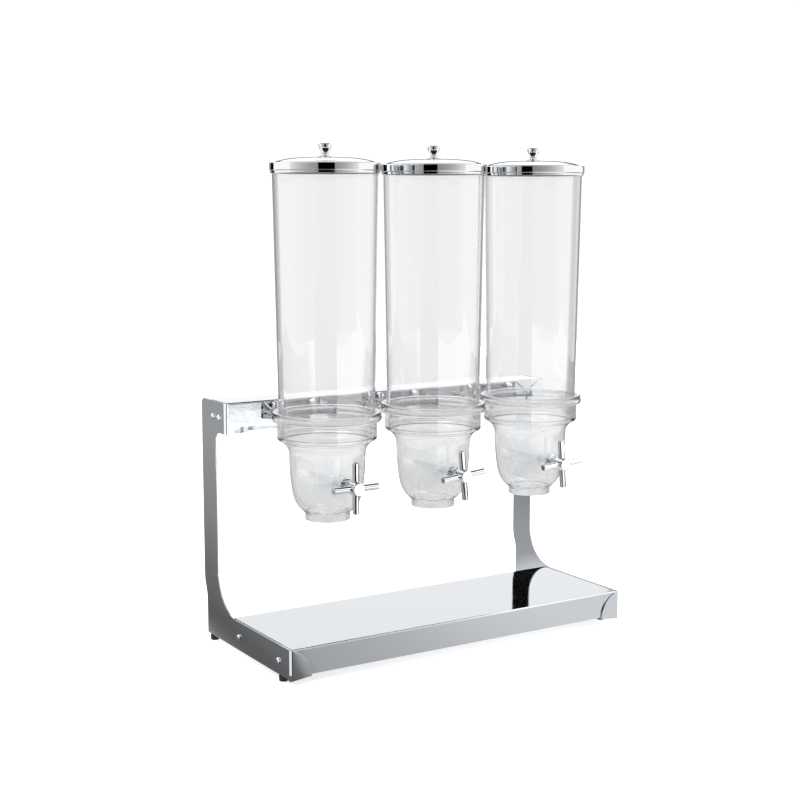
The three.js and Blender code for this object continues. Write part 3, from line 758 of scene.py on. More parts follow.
@dataclass
class SidePlate:
    """One C-shaped side plate: web, two front flanges and the lip that carries the feet.

    It is drawn as the outer skin of the folded sheet, in (y, z) for the web and with x counted inwards from
    the outer face. The sheet then gets its thickness inwards.
    """

    half_width: float
    front: float
    back: float
    low: float
    top: float
    bar_front: float
    side: int
    sheet: float = 2.0
    bend: float = 3.6
    base_top: float = 52.0
    post_back: float = 8.5
    post_width: float = 46.0
    step_low: float = 58.0
    step_high: float = 102.0
    head_height: float = 45.5
    head_fillet: float = 12.0
    head_corner: float = 9.0
    arch_radius: float = 60.0
    lip_width: float = 17.0
    base_reach: float = 33.0
    base_drop: float = 3.5
    bar_reach: float = 37.0
    bar_drop: float = 1.0
    edge: float = 0.5
    fold_steps: int = 7
    tab: float = 3.0  # web left standing between the flange's fold and the lip's

    def flange_top(self, inwards: Array, reach: float, rise: float) -> Array:
        """Height of a flange's swept edge, above its inner low corner, at distances in from the outer face.

        The edge is an arc that starts upright at the inner end and meets the corner of the plate.
        """
        radius = (reach**2 + rise**2) / (2 * reach)
        return np.sqrt(np.maximum(radius**2 - (radius - reach + inwards) ** 2, 0))

    def flange(self, web_edge: Array, fold_y: float, reach: float, low: float, high: float,
               drop: float) -> tuple[Array, list[list[int]]]:
        """Points and faces of a fold and its flange.

        Args:
            web_edge: Numbers of the web's two corners on the fold, low then high.
            fold_y: Outer face of the flange.
            reach: How far the flange reaches in from the outer face.
            low: Height of the plate's low corner there.
            high: Height of its high corner.
            drop: Rise of the flange's low edge towards its inner end.

        Returns:
            New points as (inwards, y, z) rows, and faces whose negative numbers count the new points
            from -1.
        """
        swing = np.linspace(0, np.pi / 2, self.fold_steps + 1)[1:]
        inwards = self.bend * (1 - np.cos(swing))
        y = fold_y + self.bend * (1 - np.sin(swing))
        rise = high - low - drop
        fold_low = low + drop * inwards / reach
        fold_high = low + drop + self.flange_top(inwards, reach, rise)
        far = np.linspace(self.bend, reach, 33)[1:]
        edge_high = low + drop + self.flange_top(far, reach, rise)
        lows = np.stack([inwards, y, fold_low], 1)
        highs = np.stack([inwards, y, fold_high], 1)
        swept = np.stack([far, np.full_like(far, fold_y), edge_high], 1)
        points = np.vstack([lows, highs, swept])
        steps = self.fold_steps
        lower = [int(web_edge[0]), *(-1 - k for k in range(steps))]
        upper = [int(web_edge[1]), *(-1 - steps - k for k in range(steps))]
        faces = [[lower[k], upper[k], upper[k + 1], lower[k + 1]] for k in range(steps)]
        faces.append([lower[-1], upper[-1], *(-1 - 2 * steps - k for k in range(len(far)))])
        return points, faces

    def skin(self) -> Surface:
        """The outer skin of the folded sheet, in millimetres, for the plate on this side."""
        bend, low = self.bend, self.low
        post_back = self.back + self.post_back
        post_front = post_back - self.post_width
        head_low = self.top - self.head_height
        middle = (self.step_low + self.step_high) / 2
        share = np.linspace(0, 1, 25)[:, None]
        # The back edge's step is a cubic curve that leaves and arrives upright.
        step = (
            (1 - share) ** 3 * [self.back, self.step_low]
            + 3 * share * (1 - share) ** 2 * [self.back, middle]
            + 3 * share**2 * (1 - share) * [post_back, middle] + share**3 * [post_back, self.step_high]
        )
        rest = rounded([
            (post_back, self.step_high, 0), (post_back, self.top, self.head_corner),
            (self.bar_front + bend, self.top, 0), (self.bar_front + bend, head_low, 0),
            (post_front, head_low, self.head_fillet), (post_front, self.base_top, self.arch_radius),
            (self.front + bend, self.base_top, 0), (self.front + bend, low, 0),
            (self.front + bend + self.tab, low, 0), (self.front + bend + self.tab, low + bend, 0),
            (self.back, low + bend, 0),
        ], closed=False, steps=24, hold=0.5)
        web = np.vstack([step, rest[1:]])
        points = [np.column_stack([np.zeros(len(web)), web])]
        faces: list[list[int]] = [list(range(len(web)))]

        def corner(y: float, z: float) -> int:
            """Number of the web's corner at (y, z)."""
            return int(np.argmin(np.hypot(web[:, 0] - y, web[:, 1] - z)))

        folds = [
            (self.front, self.base_reach, low, self.base_top, self.base_drop),
            (self.bar_front, self.bar_reach, head_low, self.top, self.bar_drop),
        ]
        total = len(web)
        for fold_y, reach, z_low, z_high, drop in folds:
            edge = np.array([corner(fold_y + bend, z_low), corner(fold_y + bend, z_high)])
            new, made = self.flange(edge, fold_y, reach, z_low, z_high, drop)
            faces += [[k if k >= 0 else total - 1 - k for k in face] for face in made]
            points.append(new)
            total += len(new)
        swing = np.linspace(0, np.pi / 2, self.fold_steps + 1)[1:]
        inwards = np.append(bend * (1 - np.cos(swing)), self.sheet + self.lip_width)
        heights = np.append(low + bend * (1 - np.sin(swing)), low)
        ends = [self.front + bend + self.tab, self.back]
        lip = np.vstack([np.column_stack([inwards, np.full_like(inwards, y), heights]) for y in ends])
        count = len(inwards)
        near = [corner(ends[0], low + bend), *range(total, total + count)]
        far = [corner(ends[1], low + bend), *range(total + count, total + 2 * count)]
        faces += [[near[k], near[k + 1], far[k + 1], far[k]] for k in range(count)]
        points.append(lip)
        placed = np.vstack(points)
        placed[:, 0] = self.side * (self.half_width - placed[:, 0])
        if self.side > 0:
            faces = [face[::-1] for face in faces]
        return Surface(placed, faces)

    def mesh(self) -> bpy.types.Mesh:
        """The folded plate with its thickness and broken edges."""
        surface = self.skin()
        mesh = bpy.data.meshes.new("side_plate")
        mesh.from_pydata(surface.points * MM, [], surface.faces)
        mesh.validate()
        web_out = mesh.polygons[0].normal.x * self.side > 0
        if not web_out:
            mesh.flip_normals()
        mesh.shade_smooth()

        def finish(obj: bpy.types.Object) -> None:
            """Gives the skin its thickness inwards and breaks its edges."""
            thick = obj.modifiers.new("thickness", "SOLIDIFY")
            thick.thickness = self.sheet * MM
            thick.offset = -1
            thick.use_even_offset = True
            broken = obj.modifiers.new("broken_edge", "BEVEL")
            broken.width = self.edge * MM
            broken.segments = 3
            broken.limit_method = "ANGLE"
            broken.angle_limit = math.radians(45)
            broken.harden_normals = True

        return applied(mesh, finish)


@dataclass
class Stand:
    """The folded steel stand: tray, crossbar, side plates, their bolts and the feet."""

    sheet: float = 1.5
    tray_bend: float = 2.4
    bar_bend: float = 3.0
    corner: float = 2.6
    bolt_radius: float = 4.7
    bolt_height: float = 2.8
    bolt_skirt: float = 0.6
    shank_radius: float = 2.5
    shank_length: float = 9.0
    foot_radius: float = 6.5
    foot_height: float = 7.9
    sole_radius: float = 3.4   # where the dished sole meets the ground
    dish_radius: float = 2.8
    dish_depth: float = 0.5
    stem_radius: float = 2.2
    stem_length: float = 2.9
    barb_radius: float = 3.3
    barb_height: float = 2.2

    def tray_like(self, node: str, bend: float) -> tuple[bpy.types.Mesh, Array]:
        """A folded tray that fills a CAD node's box, and the place of its top's middle in metres."""
        low, high = (np.array(corner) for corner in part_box(node))
        size = (high - low) / MM
        mesh = folded_tray(size.tolist(), bend, self.sheet, self.corner).mesh(node)
        return mesh, np.array([*((low + high) / 2)[:2], high[2]])

    def bolt(self, side: int) -> bpy.types.Mesh:
        """A dome-headed bolt along X with its seat at the origin and its head outside."""
        sweep = np.linspace(0, np.pi / 2, 14)
        dome = np.column_stack([
            self.bolt_radius * np.cos(sweep),
            GAP + self.bolt_skirt + (self.bolt_height - self.bolt_skirt) * np.sin(sweep),
        ])
        base = rounded([
            (0, -self.shank_length, 0), (self.shank_radius, -self.shank_length, 0.4),
            (self.shank_radius, GAP, 0.1), (self.bolt_radius, GAP, 0.15),
            (self.bolt_radius, GAP + self.bolt_skirt, 0),
        ], closed=False, steps=3)
        profile = np.vstack([base[:-1], dome])
        profile[-1, 0] = 0
        return turn(profile, 48).turned([[0, 0, side], [0, 1, 0], [side, 0, 0]]).mesh("bolt")

    def foot(self) -> bpy.types.Mesh:
        """A push-in foot: a tapered pad with a dished sole, its stem and its barb."""
        stem_top = self.foot_height + self.stem_length
        tip = stem_top + self.barb_height
        profile = rounded([
            (0, self.dish_depth, 0), (self.dish_radius, self.dish_depth, 0.5), (self.sole_radius, 0, 0.4),
            (self.foot_radius - 0.5, 0, 0.6), (self.foot_radius, self.foot_height, 0.5),
            (self.stem_radius, self.foot_height, 0.2), (self.stem_radius, stem_top, 0.2),
            (self.barb_radius, stem_top, 0.3), (self.stem_radius, tip, 0.5), (0, tip, 0),
        ], closed=False, steps=4)
        return turn(profile, 48).mesh("foot")

    def build(self, shop: Shop) -> None:
        """Builds every piece of the stand.

        Args:
            shop: Takes the finished pieces.
        """
        for node, bend in (("base_tray", self.tray_bend), ("crossbar", self.bar_bend)):
            mesh, place = self.tray_like(node, bend)
            shop.piece(f"{node}_sheet", mesh, Finish.STEEL, "root", node, place)
        for side_name, side in (("left", -1), ("right", 1)):
            node = f"{side_name}_side_plate"
            low, high = (np.array(corner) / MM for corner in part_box(node))
            bar_low = np.array(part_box("crossbar")[0]) / MM
            plate = SidePlate(
                half_width=float(max(abs(low[0]), abs(high[0]))), front=float(low[1]),
                back=float(high[1]) - SidePlate.post_back, low=float(low[2]), top=float(high[2]),
                bar_front=float(bar_low[1]) - SidePlate.sheet - GAP, side=side,
            )
            shop.piece(f"{side_name}_plate", plate.mesh(), Finish.STEEL, "root", node)
            bolt, foot = self.bolt(side), self.foot()
            for place in ("base", "crossbar"):
                for end in ("front", "rear"):
                    node = f"{side_name}_{place}_bolt_{end}"
                    low, high = (np.array(corner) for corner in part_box(node))
                    middle = (low + high) / 2
                    seat = (side * plate.half_width * MM, middle[1], middle[2])
                    shop.piece(f"{node}_dome", bolt, Finish.CHROME, "root", node, seat)
            for end in ("front", "rear"):
                node = f"{side_name}_foot_{end}"
                low, high = (np.array(corner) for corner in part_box(node))
                middle = (low + high) / 2
                shop.piece(f"{node}_pad", foot, Finish.RUBBER, "root", node, (middle[0], middle[1], 0))


# ------------------------------------------------------------------ station


@dataclass
class Bowl:
    """Clear bowl: hanging flange, collar with the ledge that the canister stands on, flank and neck."""

    wall: float = 2.4
    collar_inner: float = 67.6
    flange: float = 6.5
    flange_height: float = 3.4
    ledge: float = -30.7
    ledge_width: float = 4.4
    body_radius: float = 54.3
    body_top: float = -51.3
    heel_radius: float = 49.6
    heel_top: float = -108.3
    floor_radius: float = 34.0
    floor_height: float = -137.3
    neck_radius: float = 29.2
    neck_low: float = -148.6
    collar_drop: float = 3.0      # from the ledge to the foot of the collar's upright wall
    shoulder_drop: float = 4.6    # from the ledge to the head of the shoulder's curve
    shoulder_in: float = 1.6      # how far that head lies inside the collar's wall
    shoulder_pull: tuple[float, float] = (2.6, 5.0)   # out from the body, and below the curve's head
    body_pull: tuple[float, float] = (1.0, 9.0)       # in from the body, and below its middle
    heel_pull: tuple[float, float] = (2.6, 19.0)      # in from the heel, and below its head
    bush_hole: float = 8.3
    axis_height: float = -92.9

    @property
    def collar_outer(self) -> float:
        """Outer radius of the collar."""
        return self.collar_inner + self.wall

    def flank(self, steps: int = 12) -> Array:
        """The outside below the collar, top to bottom: shoulder, body and heel, one curve each."""
        top = self.ledge - self.shoulder_drop
        body_middle = (self.body_top + self.heel_top) / 2
        out, down = self.shoulder_pull
        shoulder = bezier((self.collar_outer - self.shoulder_in, top), (self.body_radius + out, top - down),
                          (self.body_radius, self.body_top), steps)
        inwards, down = self.body_pull
        body = bezier((self.body_radius, self.body_top), (self.body_radius - inwards, body_middle - down),
                      (self.heel_radius, self.heel_top), steps)
        inwards, down = self.heel_pull
        heel = bezier((self.heel_radius, self.heel_top), (self.heel_radius - inwards, self.heel_top - down),
                      (self.floor_radius, self.floor_height), steps)
        return np.vstack([shoulder, body[1:], heel[1:]])

    def shell(self) -> bpy.types.Mesh:
        """The bowl with the bush's hole in its front wall."""
        outer, wall = self.collar_outer, self.wall
        rim_top, rim_low = GAP + self.flange_height, GAP
        top = rounded([
            (self.collar_inner - self.ledge_width, self.ledge, 0.7), (self.collar_inner, self.ledge, 0.5),
            (self.collar_inner, rim_top, 0.9), (outer + self.flange, rim_top, 1.4),
            (outer + self.flange, rim_low, 0.9), (outer, rim_low, 0.8),
            (outer, self.ledge - self.collar_drop, 1.2),
            (outer - self.shoulder_in, self.ledge - self.shoulder_drop, 0),
        ], closed=False, steps=5)
        flank = self.flank()
        neck = rounded([
            (self.floor_radius, self.floor_height, 0), (self.neck_radius, self.floor_height - 2.0, 1.4),
            (self.neck_radius, self.neck_low, 0.8), (self.neck_radius - wall, self.neck_low, 0.8),
            (self.neck_radius - wall, self.floor_height + 0.6, 2.0),
            (self.floor_radius - 1, self.floor_height + 2.8, 0),
        ], closed=False, steps=4)
        inner = inset_path(flank, wall)
        below_ledge = inner[:, 1] < self.ledge - 2.6
        within_ledge = inner[:, 0] < self.collar_inner - self.ledge_width
        inner = inner[below_ledge & within_ledge]
        inner = inner[inner[:, 0] > self.floor_radius - 0.4][::-1]
        loop = np.vstack([top[:-1], flank[:-1], neck, inner])
        bowl = turn(loop, 144).mesh("bowl", sharp_degrees=50)
        drill = turn(np.array([[0, 0], [self.bush_hole, 0], [self.bush_hole, outer], [0, outer]], float), 48)
        hole = drill.turned(Z_TO_FRONT).moved((0, -self.heel_radius / 2, self.axis_height))
        return worked(bowl, (Cut.CUT, hole.mesh("hole")), sharp_degrees=50)

    def spout_ring(self, wall: float = 2.2) -> bpy.types.Mesh:
        """The slip ring round the neck, with a softly rounded foot."""
        inner = self.neck_radius + GAP
        low, high = self.neck_low - 0.4, self.floor_height - 2.7
        return turn(rounded([
            (inner, low, 0.5), (inner + wall, low, 1.0), (inner + wall, high, 0.7), (inner, high, 0.4),
        ]), 128).mesh("spout_ring")


@dataclass
class Holder:
    """Clear ring and bracket that hangs one bowl on the crossbar."""

    inner: float = 70.4
    width: float = 6.6
    height: float = 9.3
    arm_reach: float = 30.3
    arm_half: float = 49.0
    arm_sheet: float = 3.5
    plate: float = 3.7
    plate_top: float = 8.7
    plate_low: float = -16.3
    web: float = 3.0
    bolt_half: float = 30.0
    bolt_height: float = 3.5
    bolt_hole: float = 2.8
    edge: float = 0.7
    bead: float = 3.2        # radius of the ring's rounded outer side
    arm_start: float = 0.72  # share of the ring's radius where the arms begin, inside the ring
    nut_across: float = 6.2  # from the nut's middle to its corners
    nut_height: float = 6.0
    nut_chamfer: float = 0.8
    cap_radius: float = 4.9
    cap_height: float = 4.5
    shank: float = 2.5
    shank_length: float = 21.0

    @property
    def outer(self) -> float:
        """Outer radius of the ring."""
        return self.inner + self.width

    @property
    def face(self) -> float:
        """Distance from the bowl's axis to the back of the bracket."""
        return self.outer + self.arm_reach - GAP

    def mesh(self) -> bpy.types.Mesh:
        """Ring, arms, floor and back plate in one moulding."""
        half, inner = self.height / 2, self.inner
        sweep = np.linspace(-np.pi / 2, np.pi / 2, 17)
        bead_start = self.outer - self.bead
        bead = np.column_stack([bead_start + self.bead * np.cos(sweep), -half + half * np.sin(sweep)])
        lips = rounded([
            (bead_start, 0, 0), (inner, 0, self.edge), (inner, -self.height, self.edge),
            (bead_start, -self.height, 0),
        ], closed=False, steps=4)
        ring = turn(np.vstack([bead, lips[1:-1]]), 144).mesh("holder")
        start = inner * self.arm_start
        depth_profile = rounded([
            (start, -self.height, 0), (self.face, self.plate_low, 1), (self.face, self.plate_top, 1),
            (self.face - self.plate, self.plate_top, 1), (self.outer, 0, 4), (start, 0, 0),
        ], steps=3)
        arms = [
            prism(depth_profile, x, x + self.arm_sheet, self.edge).turned(SECTION_TO_SIDE).mesh("arm")
            for x in (-self.arm_half, self.arm_half - self.arm_sheet)
        ]
        wide = self.arm_half
        back_outline = rounded([
            (-wide, self.plate_low, 3), (wide, self.plate_low, 3), (wide, self.plate_top, 3),
            (-wide, self.plate_top, 3),
        ], steps=4)
        back_plate = prism(back_outline, 0, self.plate, self.edge).turned(Z_TO_FRONT)
        back = back_plate.moved((0, self.face, 0)).mesh("back")
        floor_outline = rounded([
            (-wide, start, 0), (wide, start, 0), (wide, self.face, 0), (-wide, self.face, 0),
        ])
        floor = prism(floor_outline, -self.height, -self.height + self.web, self.edge).mesh("floor")
        bore = turn(np.array([[0, -40], [inner, -40], [inner, 30], [0, 30]], float), 144).mesh("bore")
        steps = [(Cut.JOIN, back), (Cut.JOIN, floor), *((Cut.JOIN, arm) for arm in arms), (Cut.CUT, bore)]
        for side in (-1, 1):
            drill = turn(np.array([[0, 0], [self.bolt_hole, 0], [self.bolt_hole, 12], [0, 12]], float), 24)
            placed = drill.turned(Z_TO_FRONT).moved((side * self.bolt_half, self.face + 4, self.bolt_height))
            steps.append((Cut.CUT, placed.mesh("drill")))
        return worked(ring, *steps)

    def cap_nut(self) -> bpy.types.Mesh:
        """Bolt with its domed hexagon nut, along Y, with the nut's back at the origin.

        The nut is where a turned cap meets a hexagon: its radius is the lesser of the cap's and
        flat / cos(angle from the middle of the flat).
        """
        nut, chamfer, shank, length = self.nut_height, self.nut_chamfer, self.shank, self.shank_length
        flat = self.nut_across * math.cos(math.pi / 6)
        beyond = self.nut_across + 0.1   # outside the corners, so that the flats trim it all round
        sweep = np.linspace(0, np.pi / 2, 12)
        cap = np.column_stack([self.cap_radius * np.sin(sweep), nut + self.cap_height * np.cos(sweep)])
        body = rounded([
            (self.cap_radius, nut, 0), (flat, nut, 0.2), (beyond, nut - chamfer, 0), (beyond, chamfer, 0),
            (flat, 0, 0.2), (shank, 0, 0), (shank, -length, 0.4), (0, -length, 0),
        ], closed=False, steps=3)
        profile = np.vstack([cap, body[1:]])
        profile[0, 0] = 0

        def hexagon(angle: Array) -> Array:
            """Radius of the hexagon at each angle."""
            step = np.pi / 3
            return flat / np.cos((angle + step / 2) % step - step / 2)

        return turn(profile, 96, hexagon).turned(Z_TO_FRONT).mesh("cap_nut")


@dataclass
class Chute:
    """Guide insert: round top flange, hopper that narrows to the wheel, and walls that hug the wheel."""

    wall: float = 2.0
    rim: float = 40.0
    top: float = -52.3
    rim_fall: float = 3.0
    throat: float = 23.5
    half: float = 25.0
    low_angle: float = 53.0
    outlet: float = 22.0
    drum: float = 37.0
    axis: float = -92.9
    outlet_rise: float = 34.0
    shaft_hole: float = 4.6
    flange: float = 2.0
    play: float = 0.9
    spare: float = 5.0   # how far the hollow's cutter runs past each end

    def void(self, margin: float, top: float, low: float) -> Array:
        """The clear section round the wheel, grown by a margin, as (x, z) rows.

        Args:
            margin: How far it is grown.
            top: Height where it starts.
            low: Height where it ends.

        Returns:
            The closed outline.
        """
        drum = self.drum + margin
        high = math.acos((self.throat + margin) / drum)
        swing = np.linspace(high, -math.radians(self.low_angle), 29)
        arc = np.column_stack([drum * np.cos(swing), self.axis + drum * np.sin(swing)])
        start = np.array([[self.rim + margin, top], [self.rim + margin, self.top - self.rim_fall]])
        side = np.vstack([start, arc, [[self.outlet + margin, low]]])
        return np.vstack([side, side[::-1] * [-1, 1]])

    def mesh(self, bowl: Bowl) -> bpy.types.Mesh:
        """The insert, trimmed to the inside of the bowl.

        Args:
            bowl: The bowl that it sits in.

        Returns:
            The mesh.
        """
        low = self.axis - self.outlet_rise
        deep = self.half + self.wall
        outside = prism(self.void(self.wall, self.top, low), -deep, deep).turned(Z_TO_FRONT).mesh("chute")
        clear = self.void(0, self.top + self.spare, low - self.spare)
        hollow = prism(clear, -self.half, self.half).turned(Z_TO_FRONT).mesh("hollow")
        flank = bowl.flank(10)
        inner = inset_path(flank, bowl.wall + self.play)
        inner = inner[inner[:, 0] < bowl.body_radius + 4]
        cap = np.array([[0, inner[0, 1]]])
        foot = np.array([[0, inner[-1, 1]]])
        room = turn(np.vstack([cap, inner, foot]), 128).mesh("room")
        reach = bowl.body_radius + 6
        under = self.top - self.flange
        disc = turn(np.array([[0, under], [reach, under], [reach, self.top], [0, self.top]], float),
                    128).mesh("disc")
        drill = turn(np.array([[0, -40], [self.shaft_hole, -40], [self.shaft_hole, 40], [0, 40]], float), 40)
        hole = drill.turned(Z_TO_FRONT).moved((0, 0, self.axis)).mesh("hole")
        return worked(outside, (Cut.JOIN, disc), (Cut.CUT, hollow), (Cut.KEEP, room), (Cut.CUT, hole),
                      sharp_degrees=25)


@dataclass
class Drive:
    """Everything that turns, about the wheel's axis: paddle wheel, shaft and cross handle."""

    wheel_radius: float = 35.0
    wheel_half: float = 23.0
    hub: float = 9.0
    vane_root: float = 2.6
    vane_tip: float = 1.8
    vanes: int = 6
    shaft: float = 4.0
    handle_hub: float = 9.6
    arm_radius: float = 4.75
    arm: float = 35.5
    arm_set: float = 10.0   # from the hub's front to the middle of the rods

    def wheel(self) -> bpy.types.Mesh:
        """Six soft paddles round a hub: one closed outline pulled along the shaft, bored for it."""
        corners: list[Corner] = []
        foot = math.sqrt(self.hub**2 - self.vane_root**2)
        for k in range(self.vanes):
            angle = (k + 0.5) * 2 * math.pi / self.vanes
            out = np.array([math.sin(angle), math.cos(angle)])
            across = np.array([math.cos(angle), -math.sin(angle)])
            half_tip = self.vane_tip / 2
            valley = math.pi / self.vanes
            start = np.array([math.sin(angle - valley), math.cos(angle - valley)]) * self.hub
            corners.append((*start.tolist(), 6.0))
            for along, offset, radius in (
                (foot, -self.vane_root / 2, 2.0), (self.wheel_radius, -half_tip, 0.8),
                (self.wheel_radius, half_tip, 0.8), (foot, self.vane_root / 2, 2.0),
            ):
                point = out * along + across * offset
                corners.append((*point.tolist(), radius))
        outline = rounded(corners, steps=4, hold=0.4)
        star = prism(outline, -self.wheel_half, self.wheel_half, 0.5, 2).turned(Z_TO_FRONT).mesh("wheel", 40)
        bore = np.array([[0, -30], [self.shaft + GAP, -30], [self.shaft + GAP, 30], [0, 30]], float)
        return worked(star, (Cut.CUT, turn(bore, 40).turned(Z_TO_FRONT).mesh("bore")), sharp_degrees=40)

    def rod(self, radius: float, low: float, high: float, edge: float, sides: int = 48) -> Surface:
        """A round bar along Z with turned ends."""
        return turn(rounded([
            (0, low, 0), (radius, low, edge), (radius, high, edge), (0, high, 0),
        ], closed=False, steps=5), sides)

    def shaft_mesh(self, front: float, back: float) -> bpy.types.Mesh:
        """The shaft between two stations along Y."""
        return self.rod(self.shaft, front, back, 0.5).turned(Z_TO_BACK).mesh("shaft")

    def handle(self, front: float, back: float, socket: float) -> bpy.types.Mesh:
        """Hub with four rods, upright at rest.

        Args:
            front: Front face of the hub along Y.
            back: Back of the hub.
            socket: Depth of the shaft's socket.

        Returns:
            The mesh.
        """
        hub = turn(rounded([
            (0, front, 0), (self.handle_hub - 1.4, front, 0.4), (self.handle_hub - 0.9, front + 0.25, 0.3),
            (self.handle_hub, front + 1.2, 0.6), (self.handle_hub, back, 0.9), (0, back, 0),
        ], closed=False, steps=5), 96).turned(Z_TO_BACK).mesh("handle")
        upright = self.rod(self.arm_radius, -self.arm, self.arm, 0.9)
        arm_y = front + self.arm_set
        across = upright.turned(Z_TO_RIGHT)
        bore = self.rod(self.shaft + GAP, back - socket, back + 1, 0.01, 40).turned(Z_TO_BACK)
        return worked(
            hub, (Cut.JOIN, upright.moved((0, arm_y, 0)).mesh("upright")),
            (Cut.JOIN, across.moved((0, arm_y, 0)).mesh("across")), (Cut.CUT, bore.mesh("bore")),
        )


@dataclass
class Cover:
    """Lid, gasket and knob, with height zero at the canister's top edge."""

    canister_radius: float = 73.1
    sheet: float = 0.9
    rim_play: float = 2.2
    band_height: float = 10.5
    bead_height: float = 4.0
    bead_step: float = 1.2
    dome: float = 7.5
    dome_power: int = 4
    shoulder: float = 72.0
    gasket: float = 1.4
    gasket_width: float = 5.6
    knob_corners: tuple[Corner, ...] = (   # radius, height and rounding, from the base disc's middle up
        (0, 0, 0), (10.2, 0, 0.4), (10.2, 1.1, 0.5), (7.4, 1.7, 1.2), (4.8, 2.2, 0.8), (4.4, 3.8, 0.7),
        (5.6, 4.3, 0.5), (5.6, 5.1, 0.4), (5.0, 5.8, 0.7), (6.2, 8.2, 2.6), (8.7, 12.6, 3.6),
        (9.0, 17.5, 1.0), (7.9, 18.4, 0.8), (0, 18.4, 0),
    )

    @property
    def under(self) -> float:
        """Underside of the lid's flat above the canister's edge."""
        return self.gasket + 2 * GAP

    @property
    def top(self) -> float:
        """Upper edge of the lid's band."""
        return self.under + self.sheet

    def lid(self) -> bpy.types.Mesh:
        """Pressed cap: a low dome, a rolled shoulder, the band, and a bead set in below it."""
        band = self.canister_radius + self.rim_play + self.sheet + 0.3
        bead = band - self.bead_step
        band_low = self.top - self.band_height
        bead_low = band_low - self.bead_height
        share = np.linspace(0, 1, 24)
        radii = share * self.shoulder
        dome_over = np.column_stack([radii, self.top + self.dome * (1 - share**self.dome_power)])
        dome_under = dome_over - [0, self.sheet]
        outside = rounded([
            (self.shoulder, self.top, 0), (self.shoulder + 1.6, self.top - 0.1, 0.4),
            (band, self.top - 0.3, 1.4), (band, band_low, 0.7), (bead, band_low - 0.4, 0.5),
            (bead, bead_low, 0.45),
            (bead - self.sheet, bead_low, 0.4), (bead - self.sheet, band_low + self.sheet, 0.5),
            (band - self.sheet, band_low + self.sheet + 0.5, 0.5),
            (band - self.sheet, self.under - 0.1, 0.6),
            (self.shoulder, self.under, 0),
        ], closed=False, steps=5)
        profile = np.vstack([dome_over[:-1], outside[:-1], dome_under[::-1]])
        return turn(profile, 160).mesh("lid", 45)

    def seal(self) -> bpy.types.Mesh:
        """The flat gasket under the lid."""
        outer = self.canister_radius + 0.4
        inner = outer - self.gasket_width
        return turn(rounded([
            (inner, GAP, 0.5), (outer, GAP, 0.5), (outer, GAP + self.gasket, 0.5),
            (inner, GAP + self.gasket, 0.5),
        ]), 128).mesh("seal")

    def knob(self) -> bpy.types.Mesh:
        """Goblet knob on a thin base disc, turned from bar."""
        low = self.top + self.dome + GAP
        corners = [(r, low + z, bend) for r, z, bend in self.knob_corners]
        profile = rounded(corners, closed=False, steps=5, hold=0.15)
        return turn(profile, 72).mesh("knob", 40)


